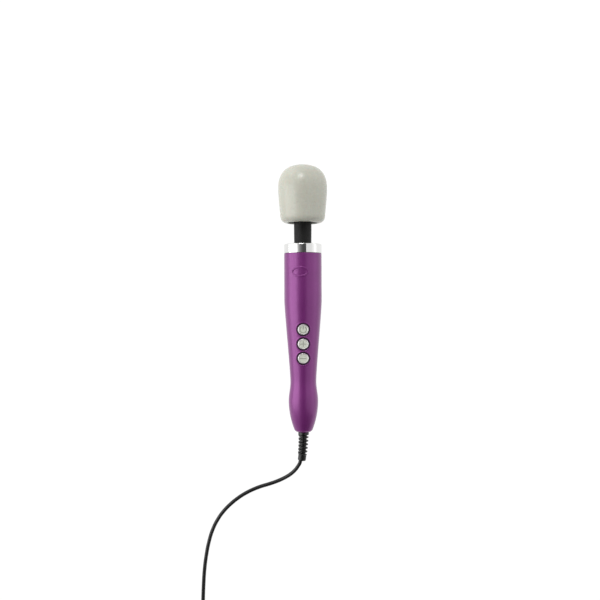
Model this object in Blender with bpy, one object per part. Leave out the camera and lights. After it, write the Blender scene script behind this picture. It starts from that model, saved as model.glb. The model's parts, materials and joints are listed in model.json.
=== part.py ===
"""Handheld wand massager lying on its back, with its mains lead coiled and its plug beside the coil.

Metres, +Z up. The wand's own axis is +Y, from the tail to the head, and its buttons face up. Stations
are distances along that axis from the tail's flat end. The axis leans so that the head and the tail's
bulge both touch the ground, z = 0, and x = 0 is the plane of symmetry.
"""

import math

import bmesh
import bpy
from mathutils import Matrix, Vector

# ---- driving dimensions --------------------------------------------------------------------------

TOTAL_LENGTH = 0.340
HEAD_RADIUS = 0.0313
GRIP_RADIUS = 0.0239
WAIST_RADIUS = 0.0165
BULGE_RADIUS = 0.0188
NECK_RADIUS = 0.0112

SHELL_TOP = 0.2269
COLLAR_TOP = 0.2392
COLLAR_RADIUS = 0.0242
TILT_STATION = 0.2380
SWAY_STATION = 0.2686
HEAD_BOTTOM = 0.2658

WALL = 0.002
SPIGOT_RADIUS = 0.0208
SPIGOT_TOP = 0.2367
INLET_RADIUS = 0.0053
GAP = 0.0003
SEAM = 0.0003
CORD_RADIUS = 0.0024
WAND_CENTRE_Y = -0.15115

HANDLE_STEPS = 32
ROUND_STEPS = 20
SMALL_STEPS = 16
PIN_STEPS = 12

# Spans of the handle's side view, each a Bezier of (station, radius).
TAIL_SPAN = (
    (0.0024, 0.0115),
    (0.0120, 0.0156),
    (0.0260, BULGE_RADIUS),
    (0.0390, BULGE_RADIUS),
)
WAIST_SPAN = (
    (0.0390, BULGE_RADIUS),
    (0.0480, BULGE_RADIUS),
    (0.0550, WAIST_RADIUS),
    (0.0640, WAIST_RADIUS),
)
GRIP_SPAN = (
    (0.0640, WAIST_RADIUS),
    (0.0780, WAIST_RADIUS),
    (0.1540, GRIP_RADIUS),
    (0.1680, GRIP_RADIUS),
)

# Spans of the head's side view, from the crown down to the rim of the recess.
CROWN_SPAN = ((TOTAL_LENGTH, 0.0), (TOTAL_LENGTH, 0.0241), (0.3266, HEAD_RADIUS), (0.3100, HEAD_RADIUS))
SIDE_SPAN = ((0.3100, HEAD_RADIUS), (0.3010, HEAD_RADIUS), (0.2870, 0.0297), (0.2770, 0.0288))
RIM_SPAN = ((0.2770, 0.0288), (0.2725, 0.0286), (0.2663, 0.0280), (HEAD_BOTTOM, 0.0200))

# Buttons
KEY_STATION = 0.1125
KEY_PITCH = 0.0182
KEY_RADIUS = 0.0068
KEY_HOLE_RADIUS = 0.0085
KEY_TRAVEL = 0.0008
KEY_NAMES = ("minus", "plus", "power")
KEY_FLANGE_RADIUS = 0.0087
BOARD_DEPTH = 0.011
BOARD_THICKNESS = 0.0016
SWITCH_HEIGHT = 0.0035
SWITCH_STEM = 0.0008

# Screws of the casing and of the cord clamp
SCREW_STATIONS = {"lower": 0.044, "upper": 0.1430}
SCREW_RADIUS = 0.0013
SCREW_HEAD_RADIUS = 0.0027
SCREW_SINK = 0.0045
BOSS_RADIUS = 0.0028
CLAMP_SCREW_X = 0.0066
CLAMP_SCREW_RADIUS = 0.0009
CLAMP_STATION = 0.015
CLAMP_SEAT = 0.0027
CLAMP_THICKNESS = 0.003

# Motor
MOTOR_REAR = 0.152
MOTOR_FRONT = 0.210
MOTOR_RADIUS = 0.0168
MOTOR_WALL = 0.0012
MOTOR_BEARING_RADIUS = 0.0050
SHAFT_RADIUS = 0.0018
ROTOR_RADIUS = 0.0108
ROTOR_POLES = 7

# Head
COVER_WALL = 0.0032
BEARING_RADIUS = 0.0080
BEARING_BORE = 0.0033
BEARING_LENGTH = 0.0045
BASE_HOLE_RADIUS = 0.0117

# Strain relief
BOOT_LENGTH = 0.0366
BOOT_BEND_SIDE = -0.0024
BOOT_BEND_DOWN = -0.0016
RIB_PITCH = 0.0045
RIB_START = -0.0071

# Mains lead
COIL_CENTRE = (-0.0914, -0.4137)
COIL_RADIUS = 0.0288
COIL_TURNS_ACROSS = 5
COIL_LAYERS = 2
PLUG_FRONT_X = 0.008
PLUG_THICKNESS = 0.0137
PIN_SPACING = 0.0186
PIN_RADIUS = 0.002
PIN_LENGTH = 0.019

# The lead's way over the ground, from the strain relief to the coil: x, y, z of its centre line.
LEAD_ROUTE = (
    (-0.0040, -0.1884, 0.0135),
    (-0.0051, -0.1922, 0.0127),
    (-0.0074, -0.1962, 0.0113),
    (-0.0106, -0.2007, 0.0096),
    (-0.0151, -0.2053, 0.0077),
    (-0.0208, -0.2095, 0.0060),
    (-0.0275, -0.2133, 0.0043),
    (-0.0355, -0.2169, 0.0031),
    (-0.0450, -0.2202, 0.0025),
    (-0.0555, -0.2233, 0.0024),
    (-0.0650, -0.2269, 0.0024),
    (-0.0745, -0.2315, 0.0024),
    (-0.0845, -0.2377, 0.0024),
    (-0.0940, -0.2452, 0.0024),
    (-0.1030, -0.2542, 0.0024),
    (-0.1110, -0.2652, 0.0024),
    (-0.1175, -0.2782, 0.0024),
    (-0.1222, -0.2932, 0.0024),
    (-0.1255, -0.3097, 0.0024),
    (-0.1278, -0.3277, 0.0024),
    (-0.1291, -0.3487, 0.0024),
    (-0.1297, -0.3702, 0.0024),
    (-0.1298, -0.3917, 0.0024),
)
LEAD_STEP = 0.011

# The lead's way from the coil to the plug's strain relief.
TAIL_ROUTE = (
    (-0.0640, -0.4473, 0.0069),
    (-0.0600, -0.4473, 0.0068),
    (-0.0560, -0.4473, 0.0068),
    (-0.0523, -0.4473, 0.0068),
)


# ---- materials -----------------------------------------------------------------------------------


def finish(name, colour, roughness, metallic=0.0):
    """A Principled material of one colour."""
    material = bpy.data.materials.new(name)
    material.use_nodes = True
    shader = material.node_tree.nodes["Principled BSDF"]
    shader.inputs["Base Color"].default_value = (*colour, 1.0)
    shader.inputs["Roughness"].default_value = roughness
    shader.inputs["Metallic"].default_value = metallic
    material.diffuse_color = (*colour, 1.0)
    return material


def make_finishes():
    """Every finish of the part, by a short name."""
    return {
        "purple": finish("purple_satin", (0.20, 0.045, 0.19), 0.32, 0.45),
        "chrome": finish("polished_metal", (0.85, 0.85, 0.86), 0.08, 1.0),
        "head": finish("head_rubber", (0.46, 0.46, 0.40), 0.55),
        "rubber": finish("black_rubber", (0.018, 0.018, 0.018), 0.6),
        "black": finish("black_plastic", (0.012, 0.012, 0.013), 0.45),
        "key": finish("silver_key", (0.55, 0.53, 0.52), 0.35, 0.3),
        "steel": finish("bright_steel", (0.55, 0.55, 0.56), 0.3, 1.0),
        "iron": finish("rotor_iron", (0.22, 0.22, 0.23), 0.5, 0.8),
        "copper": finish("copper", (0.72, 0.35, 0.18), 0.35, 1.0),
        "magnet": finish("ferrite", (0.07, 0.07, 0.075), 0.7),
        "board": finish("green_laminate", (0.03, 0.16, 0.06), 0.45),
        "white": finish("white_nylon", (0.72, 0.71, 0.68), 0.5),
        "carbon": finish("carbon", (0.04, 0.04, 0.04), 0.75),
        "brown": finish("brown_insulation", (0.18, 0.07, 0.03), 0.5),
        "blue": finish("blue_insulation", (0.03, 0.09, 0.35), 0.5),
        "brass": finish("plated_brass", (0.72, 0.66, 0.50), 0.25, 1.0),
    }


# ---- frames --------------------------------------------------------------------------------------


class Frame:
    """An empty that sub-parts hang on. Its station is where its origin lies along the wand's axis."""

    def __init__(self, name, parent=None, location=(0.0, 0.0, 0.0), tilt=0.0, station=0.0):
        self.station = station
        self.empty = bpy.data.objects.new(name, None)
        bpy.context.scene.collection.objects.link(self.empty)
        self.empty.location = location
        self.empty.rotation_euler = (tilt, 0.0, 0.0)
        if parent:
            self.empty.parent = parent.empty

    def take(self, obj):
        """Hang an object, modelled in wand stations, on this frame."""
        obj.data.transform(Matrix.Translation((0.0, -self.station, 0.0)))
        obj.parent = self.empty
        return obj


# ---- modelling tools -----------------------------------------------------------------------------


def add_object(name, mesh, material):
    """A new object of this mesh in the scene, with one material."""
    mesh.materials.clear()
    mesh.materials.append(material)
    obj = bpy.data.objects.new(name, mesh)
    bpy.context.scene.collection.objects.link(obj)
    return obj


def mesh_from(bm, name, smooth_below=math.radians(35)):
    """The finished mesh of a closed shape, facing outwards and shaded smooth between its sharp edges."""
    bmesh.ops.recalc_face_normals(bm, faces=bm.faces)
    mesh = bpy.data.meshes.new(name)
    bm.to_mesh(mesh)
    bm.free()
    mesh.shade_smooth()
    mesh.set_sharp_from_angle(angle=smooth_below)
    return mesh


def closed_loop(bm, points):
    """Vertices and edges round a closed outline."""
    corners = [bm.verts.new(point) for point in points]
    edges = [bm.edges.new((a, b)) for a, b in zip(corners, corners[1:] + corners[:1])]
    return corners, edges


def turned(name, material, outline, steps=ROUND_STEPS, start=0.0, sweep=2 * math.pi):
    """A closed outline of (station, radius) turned about the wand's axis, all the way round or part of it."""
    bm = bmesh.new()
    points = [Vector((r * math.cos(start), s, -r * math.sin(start))) for s, r in outline]
    corners, edges = closed_loop(bm, points)
    whole = abs(sweep - 2 * math.pi) < 1e-6
    spun = bmesh.ops.spin(
        bm,
        geom=corners + edges,
        cent=(0, 0, 0),
        axis=(0, 1, 0),
        angle=sweep,
        steps=steps,
        use_merge=whole,
    )
    if not whole:
        last = [part for part in spun["geom_last"] if isinstance(part, bmesh.types.BMEdge)]
        bmesh.ops.edgeloop_fill(bm, edges=edges)
        bmesh.ops.edgeloop_fill(bm, edges=last)
    bmesh.ops.remove_doubles(bm, verts=bm.verts, dist=1e-6)
    bmesh.ops.dissolve_degenerate(bm, dist=1e-6, edges=bm.edges)
    return add_object(name, mesh_from(bm, name), material)


def rod(name, material, start, end, radius, steps=SMALL_STEPS, bevel=0.0):
    """A solid round bar along the axis between two stations."""
    outline = [(start, 0.0), (start, radius - bevel), (end, radius - bevel), (end, 0.0)]
    if bevel:
        outline[2:2] = [(start + bevel, radius), (end - bevel, radius)]
    return turned(name, material, outline, steps)


def ring(name, material, start, end, inner, outer, steps=ROUND_STEPS, bevel=0.0):
    """A round tube along the axis between two stations, with its outer corners bevelled."""
    outline = [(start, inner), (start, outer - bevel), (end, outer - bevel), (end, inner)]
    if bevel:
        outline[2:2] = [(start + bevel, outer), (end - bevel, outer)]
    return turned(name, material, outline, steps)


def block(name, material, size, centre, bevel=0.0):
    """A box with bevelled edges."""
    bm = bmesh.new()
    bmesh.ops.create_cube(bm, size=1.0)
    bmesh.ops.scale(bm, vec=size, verts=bm.verts)
    if bevel:
        bmesh.ops.bevel(bm, geom=bm.edges, offset=bevel, segments=1, affect="EDGES")
    bmesh.ops.translate(bm, vec=centre, verts=bm.verts)
    return add_object(name, mesh_from(bm, name), material)


def post(name, material, low, high, radius, centre=(0.0, 0.0), steps=PIN_STEPS):
    """A solid round bar along Z between two heights."""
    bm = bmesh.new()
    bmesh.ops.create_cone(
        bm, cap_ends=True, segments=steps, radius1=radius, radius2=radius, depth=high - low
    )
    bmesh.ops.translate(bm, vec=(*centre, (low + high) / 2), verts=bm.verts)
    return add_object(name, mesh_from(bm, name), material)


def turned_up(name, material, outline, centre=(0.0, 0.0), steps=ROUND_STEPS):
    """A closed outline of (height, radius) turned about a vertical line."""
    obj = turned(name, material, outline, steps)
    obj.data.transform(Matrix.Rotation(math.radians(90), 4, "X"))
    obj.data.transform(Matrix.Translation((*centre, 0.0)))
    return obj


def extruded(name, material, outline, low, high, bevel=0.0):
    """A closed outline of (x, y) extruded between two heights, with its long edges bevelled."""
    bm = bmesh.new()
    corners, edges = closed_loop(bm, [Vector((x, y, low)) for x, y in outline])
    face = bmesh.ops.edgeloop_fill(bm, edges=edges)["faces"][0]
    grown = bmesh.ops.extrude_face_region(bm, geom=[face])
    raised = [part for part in grown["geom"] if isinstance(part, bmesh.types.BMVert)]
    bmesh.ops.translate(bm, vec=(0, 0, high - low), verts=raised)
    if bevel:
        flat = [e for e in bm.edges if abs(e.verts[0].co.z - e.verts[1].co.z) < 1e-9]
        bmesh.ops.bevel(bm, geom=flat, offset=bevel, segments=2, profile=0.5, affect="EDGES")
    return add_object(name, mesh_from(bm, name), material)


def combine(target, tool, operation):
    """Cut a tool out of the target, or join it on, and leave the target as one plain mesh."""
    boolean = target.modifiers.new(operation, "BOOLEAN")
    boolean.operation = operation
    boolean.object = tool
    bpy.context.view_layer.update()
    evaluated = target.evaluated_get(bpy.context.evaluated_depsgraph_get())
    mesh = bpy.data.meshes.new_from_object(evaluated)
    target.modifiers.clear()
    target.data = mesh
    bpy.data.objects.remove(tool)
    mesh.shade_smooth()
    mesh.set_sharp_from_angle(angle=math.radians(35))
    return target


def bezier(span, steps, grow=0.0):
    """Points along a Bezier span of (station, radius), without its first point."""
    p0, p1, p2, p3 = (Vector(point) for point in span)
    points = []
    for i in range(1, steps + 1):
        t = i / steps
        u = 1.0 - t
        point = u**3 * p0 + 3 * u * u * t * p1 + 3 * u * t * t * p2 + t**3 * p3
        points.append((point.x, point.y + grow))
    return points


def smooth_route(route, step):
    """Points a step apart along a smooth curve through a route's points."""
    knots = [Vector(point) for point in route]
    knots = [2 * knots[0] - knots[1]] + knots + [2 * knots[-1] - knots[-2]]
    dense = []
    for a, b, c, d in zip(knots, knots[1:], knots[2:], knots[3:]):
        for i in range(20):
            t = i / 20
            dense.append(
                0.5
                * (
                    2 * b
                    + (c - a) * t
                    + (2 * a - 5 * b + 4 * c - d) * t * t
                    + (3 * b - a - 3 * c + d) * t**3
                )
            )
    dense.append(knots[-2])
    lengths = [0.0]
    for a, b in zip(dense, dense[1:]):
        lengths.append(lengths[-1] + (b - a).length)
    count = max(2, round(lengths[-1] / step))
    points = []
    at = 0
    for i in range(count + 1):
        wanted = lengths[-1] * i / count
        while at < len(dense) - 2 and lengths[at + 1] < wanted:
            at += 1
        share = (wanted - lengths[at]) / (lengths[at + 1] - lengths[at])
        points.append(dense[at].lerp(dense[at + 1], min(1.0, share)))
    return points


def wire(name, material, points, radius, sides_level=2):
    """A round wire or lead along these points, closed at both ends."""
    curve = bpy.data.curves.new(name, "CURVE")
    curve.dimensions = "3D"
    curve.bevel_depth = radius
    curve.bevel_resolution = sides_level
    curve.use_fill_caps = True
    spline = curve.splines.new("POLY")
    spline.points.add(len(points) - 1)
    for knot, point in zip(spline.points, points):
        knot.co = (*point, 1.0)
    curve.materials.append(material)
    obj = bpy.data.objects.new(name, curve)
    bpy.context.scene.collection.objects.link(obj)
    return obj


# ---- side views ----------------------------------------------------------------------------------


def handle_side(grow=0.0, tail_steps=5, waist_steps=3, grip_steps=6):
    """The handle's side view from the tail's rounded end to the top of the grip, as (station, radius)."""
    points = [(TAIL_SPAN[0][0], TAIL_SPAN[0][1] + grow)]
    points += bezier(TAIL_SPAN, tail_steps, grow)
    points += bezier(WAIST_SPAN, waist_steps, grow)
    points += bezier(GRIP_SPAN, grip_steps, grow)
    return points


def handle_radius(station):
    """The handle's outer radius at a station."""
    points = handle_side(0.0, 24, 24, 48)
    for (s0, r0), (s1, r1) in zip(points, points[1:]):
        if s0 <= station <= s1:
            return r0 + (r1 - r0) * (station - s0) / (s1 - s0)
    return GRIP_RADIUS


def head_side(inset=0.0):
    """The head's side view from the crown to the recess's rim, drawn in by an inset."""
    coarse = inset > 0.0
    points = [CROWN_SPAN[0]]
    points += bezier(CROWN_SPAN, 5 if coarse else 7)
    points += bezier(SIDE_SPAN, 1 if coarse else 2)
    points += bezier(RIM_SPAN, 2 if coarse else 4)
    if not coarse:
        return points
    middle = 0.300
    reach = (HEAD_RADIUS - inset) / HEAD_RADIUS
    rise = (TOTAL_LENGTH - middle - inset) / (TOTAL_LENGTH - middle)
    return [(middle + (s - middle) * rise, r * reach) for s, r in points]


def resting_line():
    """Slope and height of the ground line that touches the tail's bulge and the head, in the side view."""
    tail = [(s, r + SEAM / 2) for s, r in handle_side()]
    head = head_side()
    for s1, r1 in tail:
        for s2, r2 in head:
            if s2 <= s1:
                continue
            slope = (r2 - r1) / (s2 - s1)
            height = r1 - slope * s1
            if all(r <= height + slope * s + 1e-9 for s, r in tail + head):
                return slope, height
    return 0.0, HEAD_RADIUS


# ---- handle --------------------------------------------------------------------------------------


def shell_half(name, material, start):
    """Half of the handle's casing, from the tail's end to the spigot inside the collar."""
    inside = [point for point in handle_side(-WALL, 4, 3, 5) if point[0] > 0.006]
    outline = [(0.0, INLET_RADIUS), (0.0, 0.0079), (0.0003, 0.0090), (0.0011, 0.0104)]
    outline += handle_side()
    outline += [(SHELL_TOP, GRIP_RADIUS), (SHELL_TOP, SPIGOT_RADIUS), (SPIGOT_TOP, SPIGOT_RADIUS)]
    outline += [(SPIGOT_TOP, SPIGOT_RADIUS - WALL), (SHELL_TOP - WALL, SPIGOT_RADIUS - WALL)]
    outline += [(SHELL_TOP - 2 * WALL, GRIP_RADIUS - WALL)]
    outline += inside[::-1]
    outline += [(0.0030, 0.0088), (0.0030, INLET_RADIUS)]
    half = turned(name, material, outline, HANDLE_STEPS // 2, start, math.pi)
    shift = SEAM / 2 if start > 0 else -SEAM / 2
    half.data.transform(Matrix.Translation((0, 0, shift)))
    return half


def shell_front(finishes):
    """The casing half with the buttons: three round holes, and two blind bosses for the casing's screws."""
    shell = shell_half("handle_shell_front", finishes["purple"], math.pi)
    for station in SCREW_STATIONS.values():
        top = handle_radius(station) - WALL / 2
        boss = post("boss", finishes["purple"], 0.0002, top, BOSS_RADIUS, (0.0, station))
        combine(shell, boss, "UNION")
        bore = post("bore", finishes["purple"], -0.001, 0.0095, SCREW_RADIUS + GAP, (0.0, station))
        combine(shell, bore, "DIFFERENCE")
    for i in range(len(KEY_NAMES)):
        hole = post("hole", finishes["purple"], -0.008, 0.006, KEY_HOLE_RADIUS, steps=ROUND_STEPS)
        hole.data.transform(key_matrix(i))
        combine(shell, hole, "DIFFERENCE")
    return shell


def shell_rear(finishes):
    """The back casing half: two through bosses with sunk screw heads, and two posts for the cord clamp."""
    shell = shell_half("handle_shell_rear", finishes["purple"], 0.0)
    for station in SCREW_STATIONS.values():
        bottom = -handle_radius(station)
        below = bottom - 0.001
        centre = (0.0, station)
        boss_radius = SCREW_HEAD_RADIUS + GAP + 0.0012
        boss = post("boss", finishes["purple"], bottom + WALL / 2, -0.0002, boss_radius, centre)
        combine(shell, boss, "UNION")
        bore = post("bore", finishes["purple"], below, 0.001, SCREW_RADIUS + GAP, centre)
        combine(shell, bore, "DIFFERENCE")
        sink_radius = SCREW_HEAD_RADIUS + GAP
        sink = post("sink", finishes["purple"], below, bottom + SCREW_SINK, sink_radius, centre)
        combine(shell, sink, "DIFFERENCE")
    for side in (-1, 1):
        centre = (side * CLAMP_SCREW_X, CLAMP_STATION)
        boss = post("boss", finishes["purple"], -0.0125, CLAMP_SEAT - GAP, 0.0022, centre)
        combine(shell, boss, "UNION")
        bore_radius = CLAMP_SCREW_RADIUS + GAP
        bore = post("bore", finishes["purple"], -0.006, CLAMP_SEAT + 0.001, bore_radius, centre)
        combine(shell, bore, "DIFFERENCE")
    return shell


def shell_screws(wand, finishes):
    """Two screws that hold the casing's halves together, put in from the back."""
    for name, station in SCREW_STATIONS.items():
        bottom = -handle_radius(station)
        seat = bottom + SCREW_SINK - GAP
        head = seat - 0.0022
        outline = [
            (head, 0.0),
            (head, SCREW_HEAD_RADIUS - 0.0004),
            (head + 0.0004, SCREW_HEAD_RADIUS),
            (seat, SCREW_HEAD_RADIUS),
            (seat, SCREW_RADIUS),
            (0.0085, SCREW_RADIUS),
            (0.0092, 0.0),
        ]
        centre = (0.0, station)
        screw = turned_up(f"shell_screw_{name}", finishes["steel"], outline, centre, PIN_STEPS)
        slot = block("slot", finishes["steel"], (0.0036, 0.0006, 0.0016), (*centre, head))
        wand.take(combine(screw, slot, "DIFFERENCE"))


def collar(finishes):
    """The polished ring that caps the grip: a skirt over the spigot and a rounded top plate round the neck."""
    outline = [
        (SHELL_TOP + GAP, 0.0212),
        (SHELL_TOP + GAP, COLLAR_RADIUS),
        (0.2358, COLLAR_RADIUS),
        (0.2370, 0.0239),
        (0.2381, 0.0229),
        (0.2387, 0.0215),
        (0.2391, 0.0182),
        (COLLAR_TOP, 0.0132),
        (0.2389, 0.0119),
        (0.2385, 0.0116),
        (0.2374, 0.0116),
        (0.2372, 0.0205),
        (0.2368, 0.0212),
    ]
    return turned("collar_ring", finishes["chrome"], outline, HANDLE_STEPS)


def make_handle(wand, finishes):
    """The casing and the collar."""
    wand.take(shell_front(finishes))
    wand.take(shell_rear(finishes))
    shell_screws(wand, finishes)
    wand.take(collar(finishes))


# ---- buttons and electronics ---------------------------------------------------------------------


def key_slope():
    """How far the surface under the buttons leans from the wand's axis."""
    low = handle_radius(KEY_STATION - KEY_PITCH)
    high = handle_radius(KEY_STATION + KEY_PITCH)
    return math.atan2(high - low, 2 * KEY_PITCH)


def key_matrix(i):
    """Where button number i stands on the handle: its origin on the crown line, Z along its travel."""
    along = (i - 1) * KEY_PITCH
    lean = Matrix.Rotation(key_slope(), 4, "X")
    place = Matrix.Translation((0.0, KEY_STATION, handle_radius(KEY_STATION)))
    return place @ lean @ Matrix.Translation((0.0, along, 0.0))


def key_cap(name, finishes):
    """A flat button with a bevelled rim, a retaining flange and a stem down to its switch."""
    foot = -BOARD_DEPTH + SWITCH_HEIGHT + KEY_TRAVEL + GAP
    outline = [
        (-0.0005, 0.0),
        (-0.0005, 0.0057),
        (-0.00025, 0.0062),
        (-0.0010, KEY_RADIUS),
        (-0.0055, KEY_RADIUS),
        (-0.0055, KEY_FLANGE_RADIUS),
        (-0.0063, KEY_FLANGE_RADIUS),
        (-0.0063, 0.0021),
        (foot, 0.0018),
        (foot, 0.0),
    ]
    return turned_up(f"button_{name}", finishes["key"], outline, steps=ROUND_STEPS)


def key_seal(name, finishes):
    """The dark ring at the bottom of the groove round a button."""
    outline = [
        (-0.0024, KEY_RADIUS + GAP),
        (-0.0024, KEY_HOLE_RADIUS - GAP),
        (-0.0036, KEY_HOLE_RADIUS - GAP),
        (-0.0036, KEY_RADIUS + GAP),
    ]
    return turned_up(f"button_seal_{name}", finishes["rubber"], outline, steps=ROUND_STEPS)


def switch(name, finishes, along):
    """A tactile switch on the board, under its button."""
    height = SWITCH_HEIGHT - SWITCH_STEM
    centre = (0.0, along, -BOARD_DEPTH + GAP + height / 2)
    body = block(f"switch_{name}", finishes["black"], (0.006, 0.006, height), centre, 0.0003)
    top = -BOARD_DEPTH + SWITCH_HEIGHT
    stem = post("stem", finishes["black"], top - 0.0015, top, 0.0016, (0.0, along))
    return combine(body, stem, "UNION")


def make_keys(wand, finishes):
    """The three buttons on their own travel axes, with their seals, switches and circuit board."""
    lean = key_slope()
    deck = Frame("key_deck", wand, (0.0, KEY_STATION, handle_radius(KEY_STATION)), lean)
    for i, name in enumerate(KEY_NAMES):
        along = (i - 1) * KEY_PITCH
        travel = Frame(f"{name}_travel", deck, (0.0, along, 0.0))
        travel.take(key_cap(name, finishes))
        seal = key_seal(name, finishes)
        seal.data.transform(Matrix.Translation((0.0, along, 0.0)))
        deck.take(seal)
        deck.take(switch(name, finishes, along))
    board_centre = (0.0, -0.004, -BOARD_DEPTH - BOARD_THICKNESS / 2)
    board_size = (0.022, 0.054, BOARD_THICKNESS)
    deck.take(block("circuit_board", finishes["board"], board_size, board_centre))
    under = -BOARD_DEPTH - BOARD_THICKNESS - GAP
    can_radius = 0.005
    capacitor = rod("capacitor", finishes["blue"], -0.029, -0.009, can_radius, bevel=0.0006)
    capacitor.data.transform(Matrix.Translation((0.0, 0.0, under - can_radius)))
    deck.take(capacitor)
    size = (0.012, 0.016, 0.007)
    centre = (0.0, 0.005, under - size[2] / 2)
    deck.take(block("power_module", finishes["black"], size, centre, 0.0005))


# ---- motor ---------------------------------------------------------------------------------------


def motor_can(finishes):
    """The motor's steel can, open at the rear, with a bearing nose at the front."""
    wall = MOTOR_WALL
    seat = MOTOR_BEARING_RADIUS + GAP
    outline = [
        (MOTOR_REAR, MOTOR_RADIUS - wall),
        (MOTOR_REAR, MOTOR_RADIUS),
        (MOTOR_FRONT - 0.0015, MOTOR_RADIUS),
        (MOTOR_FRONT, MOTOR_RADIUS - 0.0015),
        (MOTOR_FRONT, 0.0066),
        (MOTOR_FRONT + 0.004, 0.0066),
        (MOTOR_FRONT + 0.004, 0.0030),
        (MOTOR_FRONT + 0.003, 0.0030),
        (MOTOR_FRONT + 0.003, seat),
        (MOTOR_FRONT - 0.0025, seat),
        (MOTOR_FRONT - 0.0025, MOTOR_RADIUS - wall),
    ]
    return turned("motor_can", finishes["steel"], outline)


def motor_end_cap(finishes):
    """The motor's nylon rear cap with its bearing seat."""
    seat = MOTOR_BEARING_RADIUS + GAP
    outline = [
        (MOTOR_REAR - GAP, seat),
        (MOTOR_REAR - GAP, MOTOR_RADIUS - 0.0003),
        (MOTOR_REAR - 0.0035, MOTOR_RADIUS - 0.0003),
        (MOTOR_REAR - 0.0045, MOTOR_RADIUS - 0.0018),
        (MOTOR_REAR - 0.0045, 0.0030),
        (MOTOR_REAR - 0.0038, 0.0030),
        (MOTOR_REAR - 0.0038, seat),
    ]
    return turned("motor_end_cap", finishes["white"], outline)


def magnet(name, finishes, start):
    """A curved magnet inside the can."""
    arc = math.radians(120)
    inner = ROTOR_RADIUS + 2 * GAP
    outer = MOTOR_RADIUS - MOTOR_WALL - GAP
    rear, front = 0.162, 0.201
    outline = [(rear, inner), (rear, outer), (front, outer), (front, inner)]
    return turned(name, finishes["magnet"], outline, 10, start, arc)


def rotor_core(finishes):
    """The rotor's stack of iron sheets, with a pole and a winding slot seven times round."""
    stem, shoe = 0.17, 0.36
    slot_bottom = 0.0062
    pole = (
        (-stem, slot_bottom),
        (-shoe, ROTOR_RADIUS),
        (0.0, ROTOR_RADIUS),
        (shoe, ROTOR_RADIUS),
        (stem, slot_bottom),
    )
    outline = []
    for i in range(ROTOR_POLES):
        middle = 2 * math.pi * i / ROTOR_POLES
        for offset, radius in pole:
            angle = middle + offset
            outline.append((radius * math.cos(angle), radius * math.sin(angle)))
    core = extruded("rotor_core", finishes["iron"], outline, 0.166, 0.198)
    bore = post("bore", finishes["iron"], 0.160, 0.204, SHAFT_RADIUS + GAP)
    combine(core, bore, "DIFFERENCE")
    core.data.transform(Matrix.Rotation(math.radians(-90), 4, "X"))
    return core


def make_motor(wand, finishes):
    """The motor: its still parts in the handle, and its turning parts on the motor's axis."""
    wand.take(motor_can(finishes))
    wand.take(motor_end_cap(finishes))
    wand.take(magnet("motor_magnet_left", finishes, math.radians(120)))
    wand.take(magnet("motor_magnet_right", finishes, math.radians(-60)))
    bore = SHAFT_RADIUS + GAP
    for name, start, end in (("rear", 0.1485, 0.1520), ("front", 0.2082, 0.2127)):
        bearing = ring(
            f"motor_bearing_{name}",
            finishes["steel"],
            start,
            end,
            bore,
            MOTOR_BEARING_RADIUS,
            SMALL_STEPS,
        )
        wand.take(bearing)
    inner = MOTOR_RADIUS + GAP
    for name, start in (("rear", 0.1550), ("front", 0.1990)):
        outer = handle_radius(start) - WALL - GAP
        mount_name = f"motor_mount_{name}"
        wand.take(ring(mount_name, finishes["rubber"], start, start + 0.006, inner, outer))
    brush_size = (0.0050, 0.0040, 0.0030)
    for name, side in (("left", -1), ("right", 1)):
        centre = (side * 0.0072, 0.1590, 0.0)
        wand.take(block(f"brush_{name}", finishes["carbon"], brush_size, centre, 0.0003))
    spin = Frame("motor_axis", wand, (0.0, MOTOR_REAR, 0.0), station=MOTOR_REAR)
    spin.take(rotor_core(finishes))
    spin.take(ring("commutator", finishes["copper"], 0.1555, 0.1635, bore, 0.0044, SMALL_STEPS, 0.0003))
    spin.take(rod("motor_shaft", finishes["steel"], 0.1478, 0.2240, SHAFT_RADIUS, PIN_STEPS, 0.0003))
    coupling = [
        (0.2160, bore),
        (0.2160, 0.0045),
        (0.2278, 0.0045),
        (0.2288, 0.0035),
        (0.2288, 0.0022),
        (0.2373, 0.0022),
        (0.2373, 0.0),
        (0.2246, 0.0),
        (0.2246, bore),
    ]
    spin.take(turned("shaft_coupling", finishes["brass"], coupling, SMALL_STEPS))


# ---- neck and head -------------------------------------------------------------------------------


def neck_sleeve(finishes):
    """The rubber sleeve of the neck, with a flange inside the collar and one inside the head."""
    outline = [
        (0.2278, 0.0082),
        (0.2278, 0.0144),
        (0.2308, 0.0144),
        (0.2318, 0.0116),
        (0.2338, NECK_RADIUS - 0.0001),
        (0.2520, NECK_RADIUS - 0.0001),
        (0.2560, NECK_RADIUS),
        (0.2700, NECK_RADIUS),
        (0.2726, NECK_RADIUS),
        (0.2731, 0.0132),
        (0.2756, 0.0132),
        (0.2756, 0.0082),
    ]
    return turned("neck_sleeve", finishes["rubber"], outline)


def neck_spring(finishes):
    """The steel spring inside the sleeve."""
    turns = 7
    per_turn = 8
    coil_radius, low, high = 0.0066, 0.2298, 0.2731
    points = []
    for i in range(turns * per_turn + 1):
        angle = 2 * math.pi * i / per_turn
        station = low + (high - low) * i / (turns * per_turn)
        points.append((coil_radius * math.cos(angle), station - TILT_STATION, coil_radius * math.sin(angle)))
    return wire("neck_spring", finishes["steel"], points, 0.0008, 1)


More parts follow.
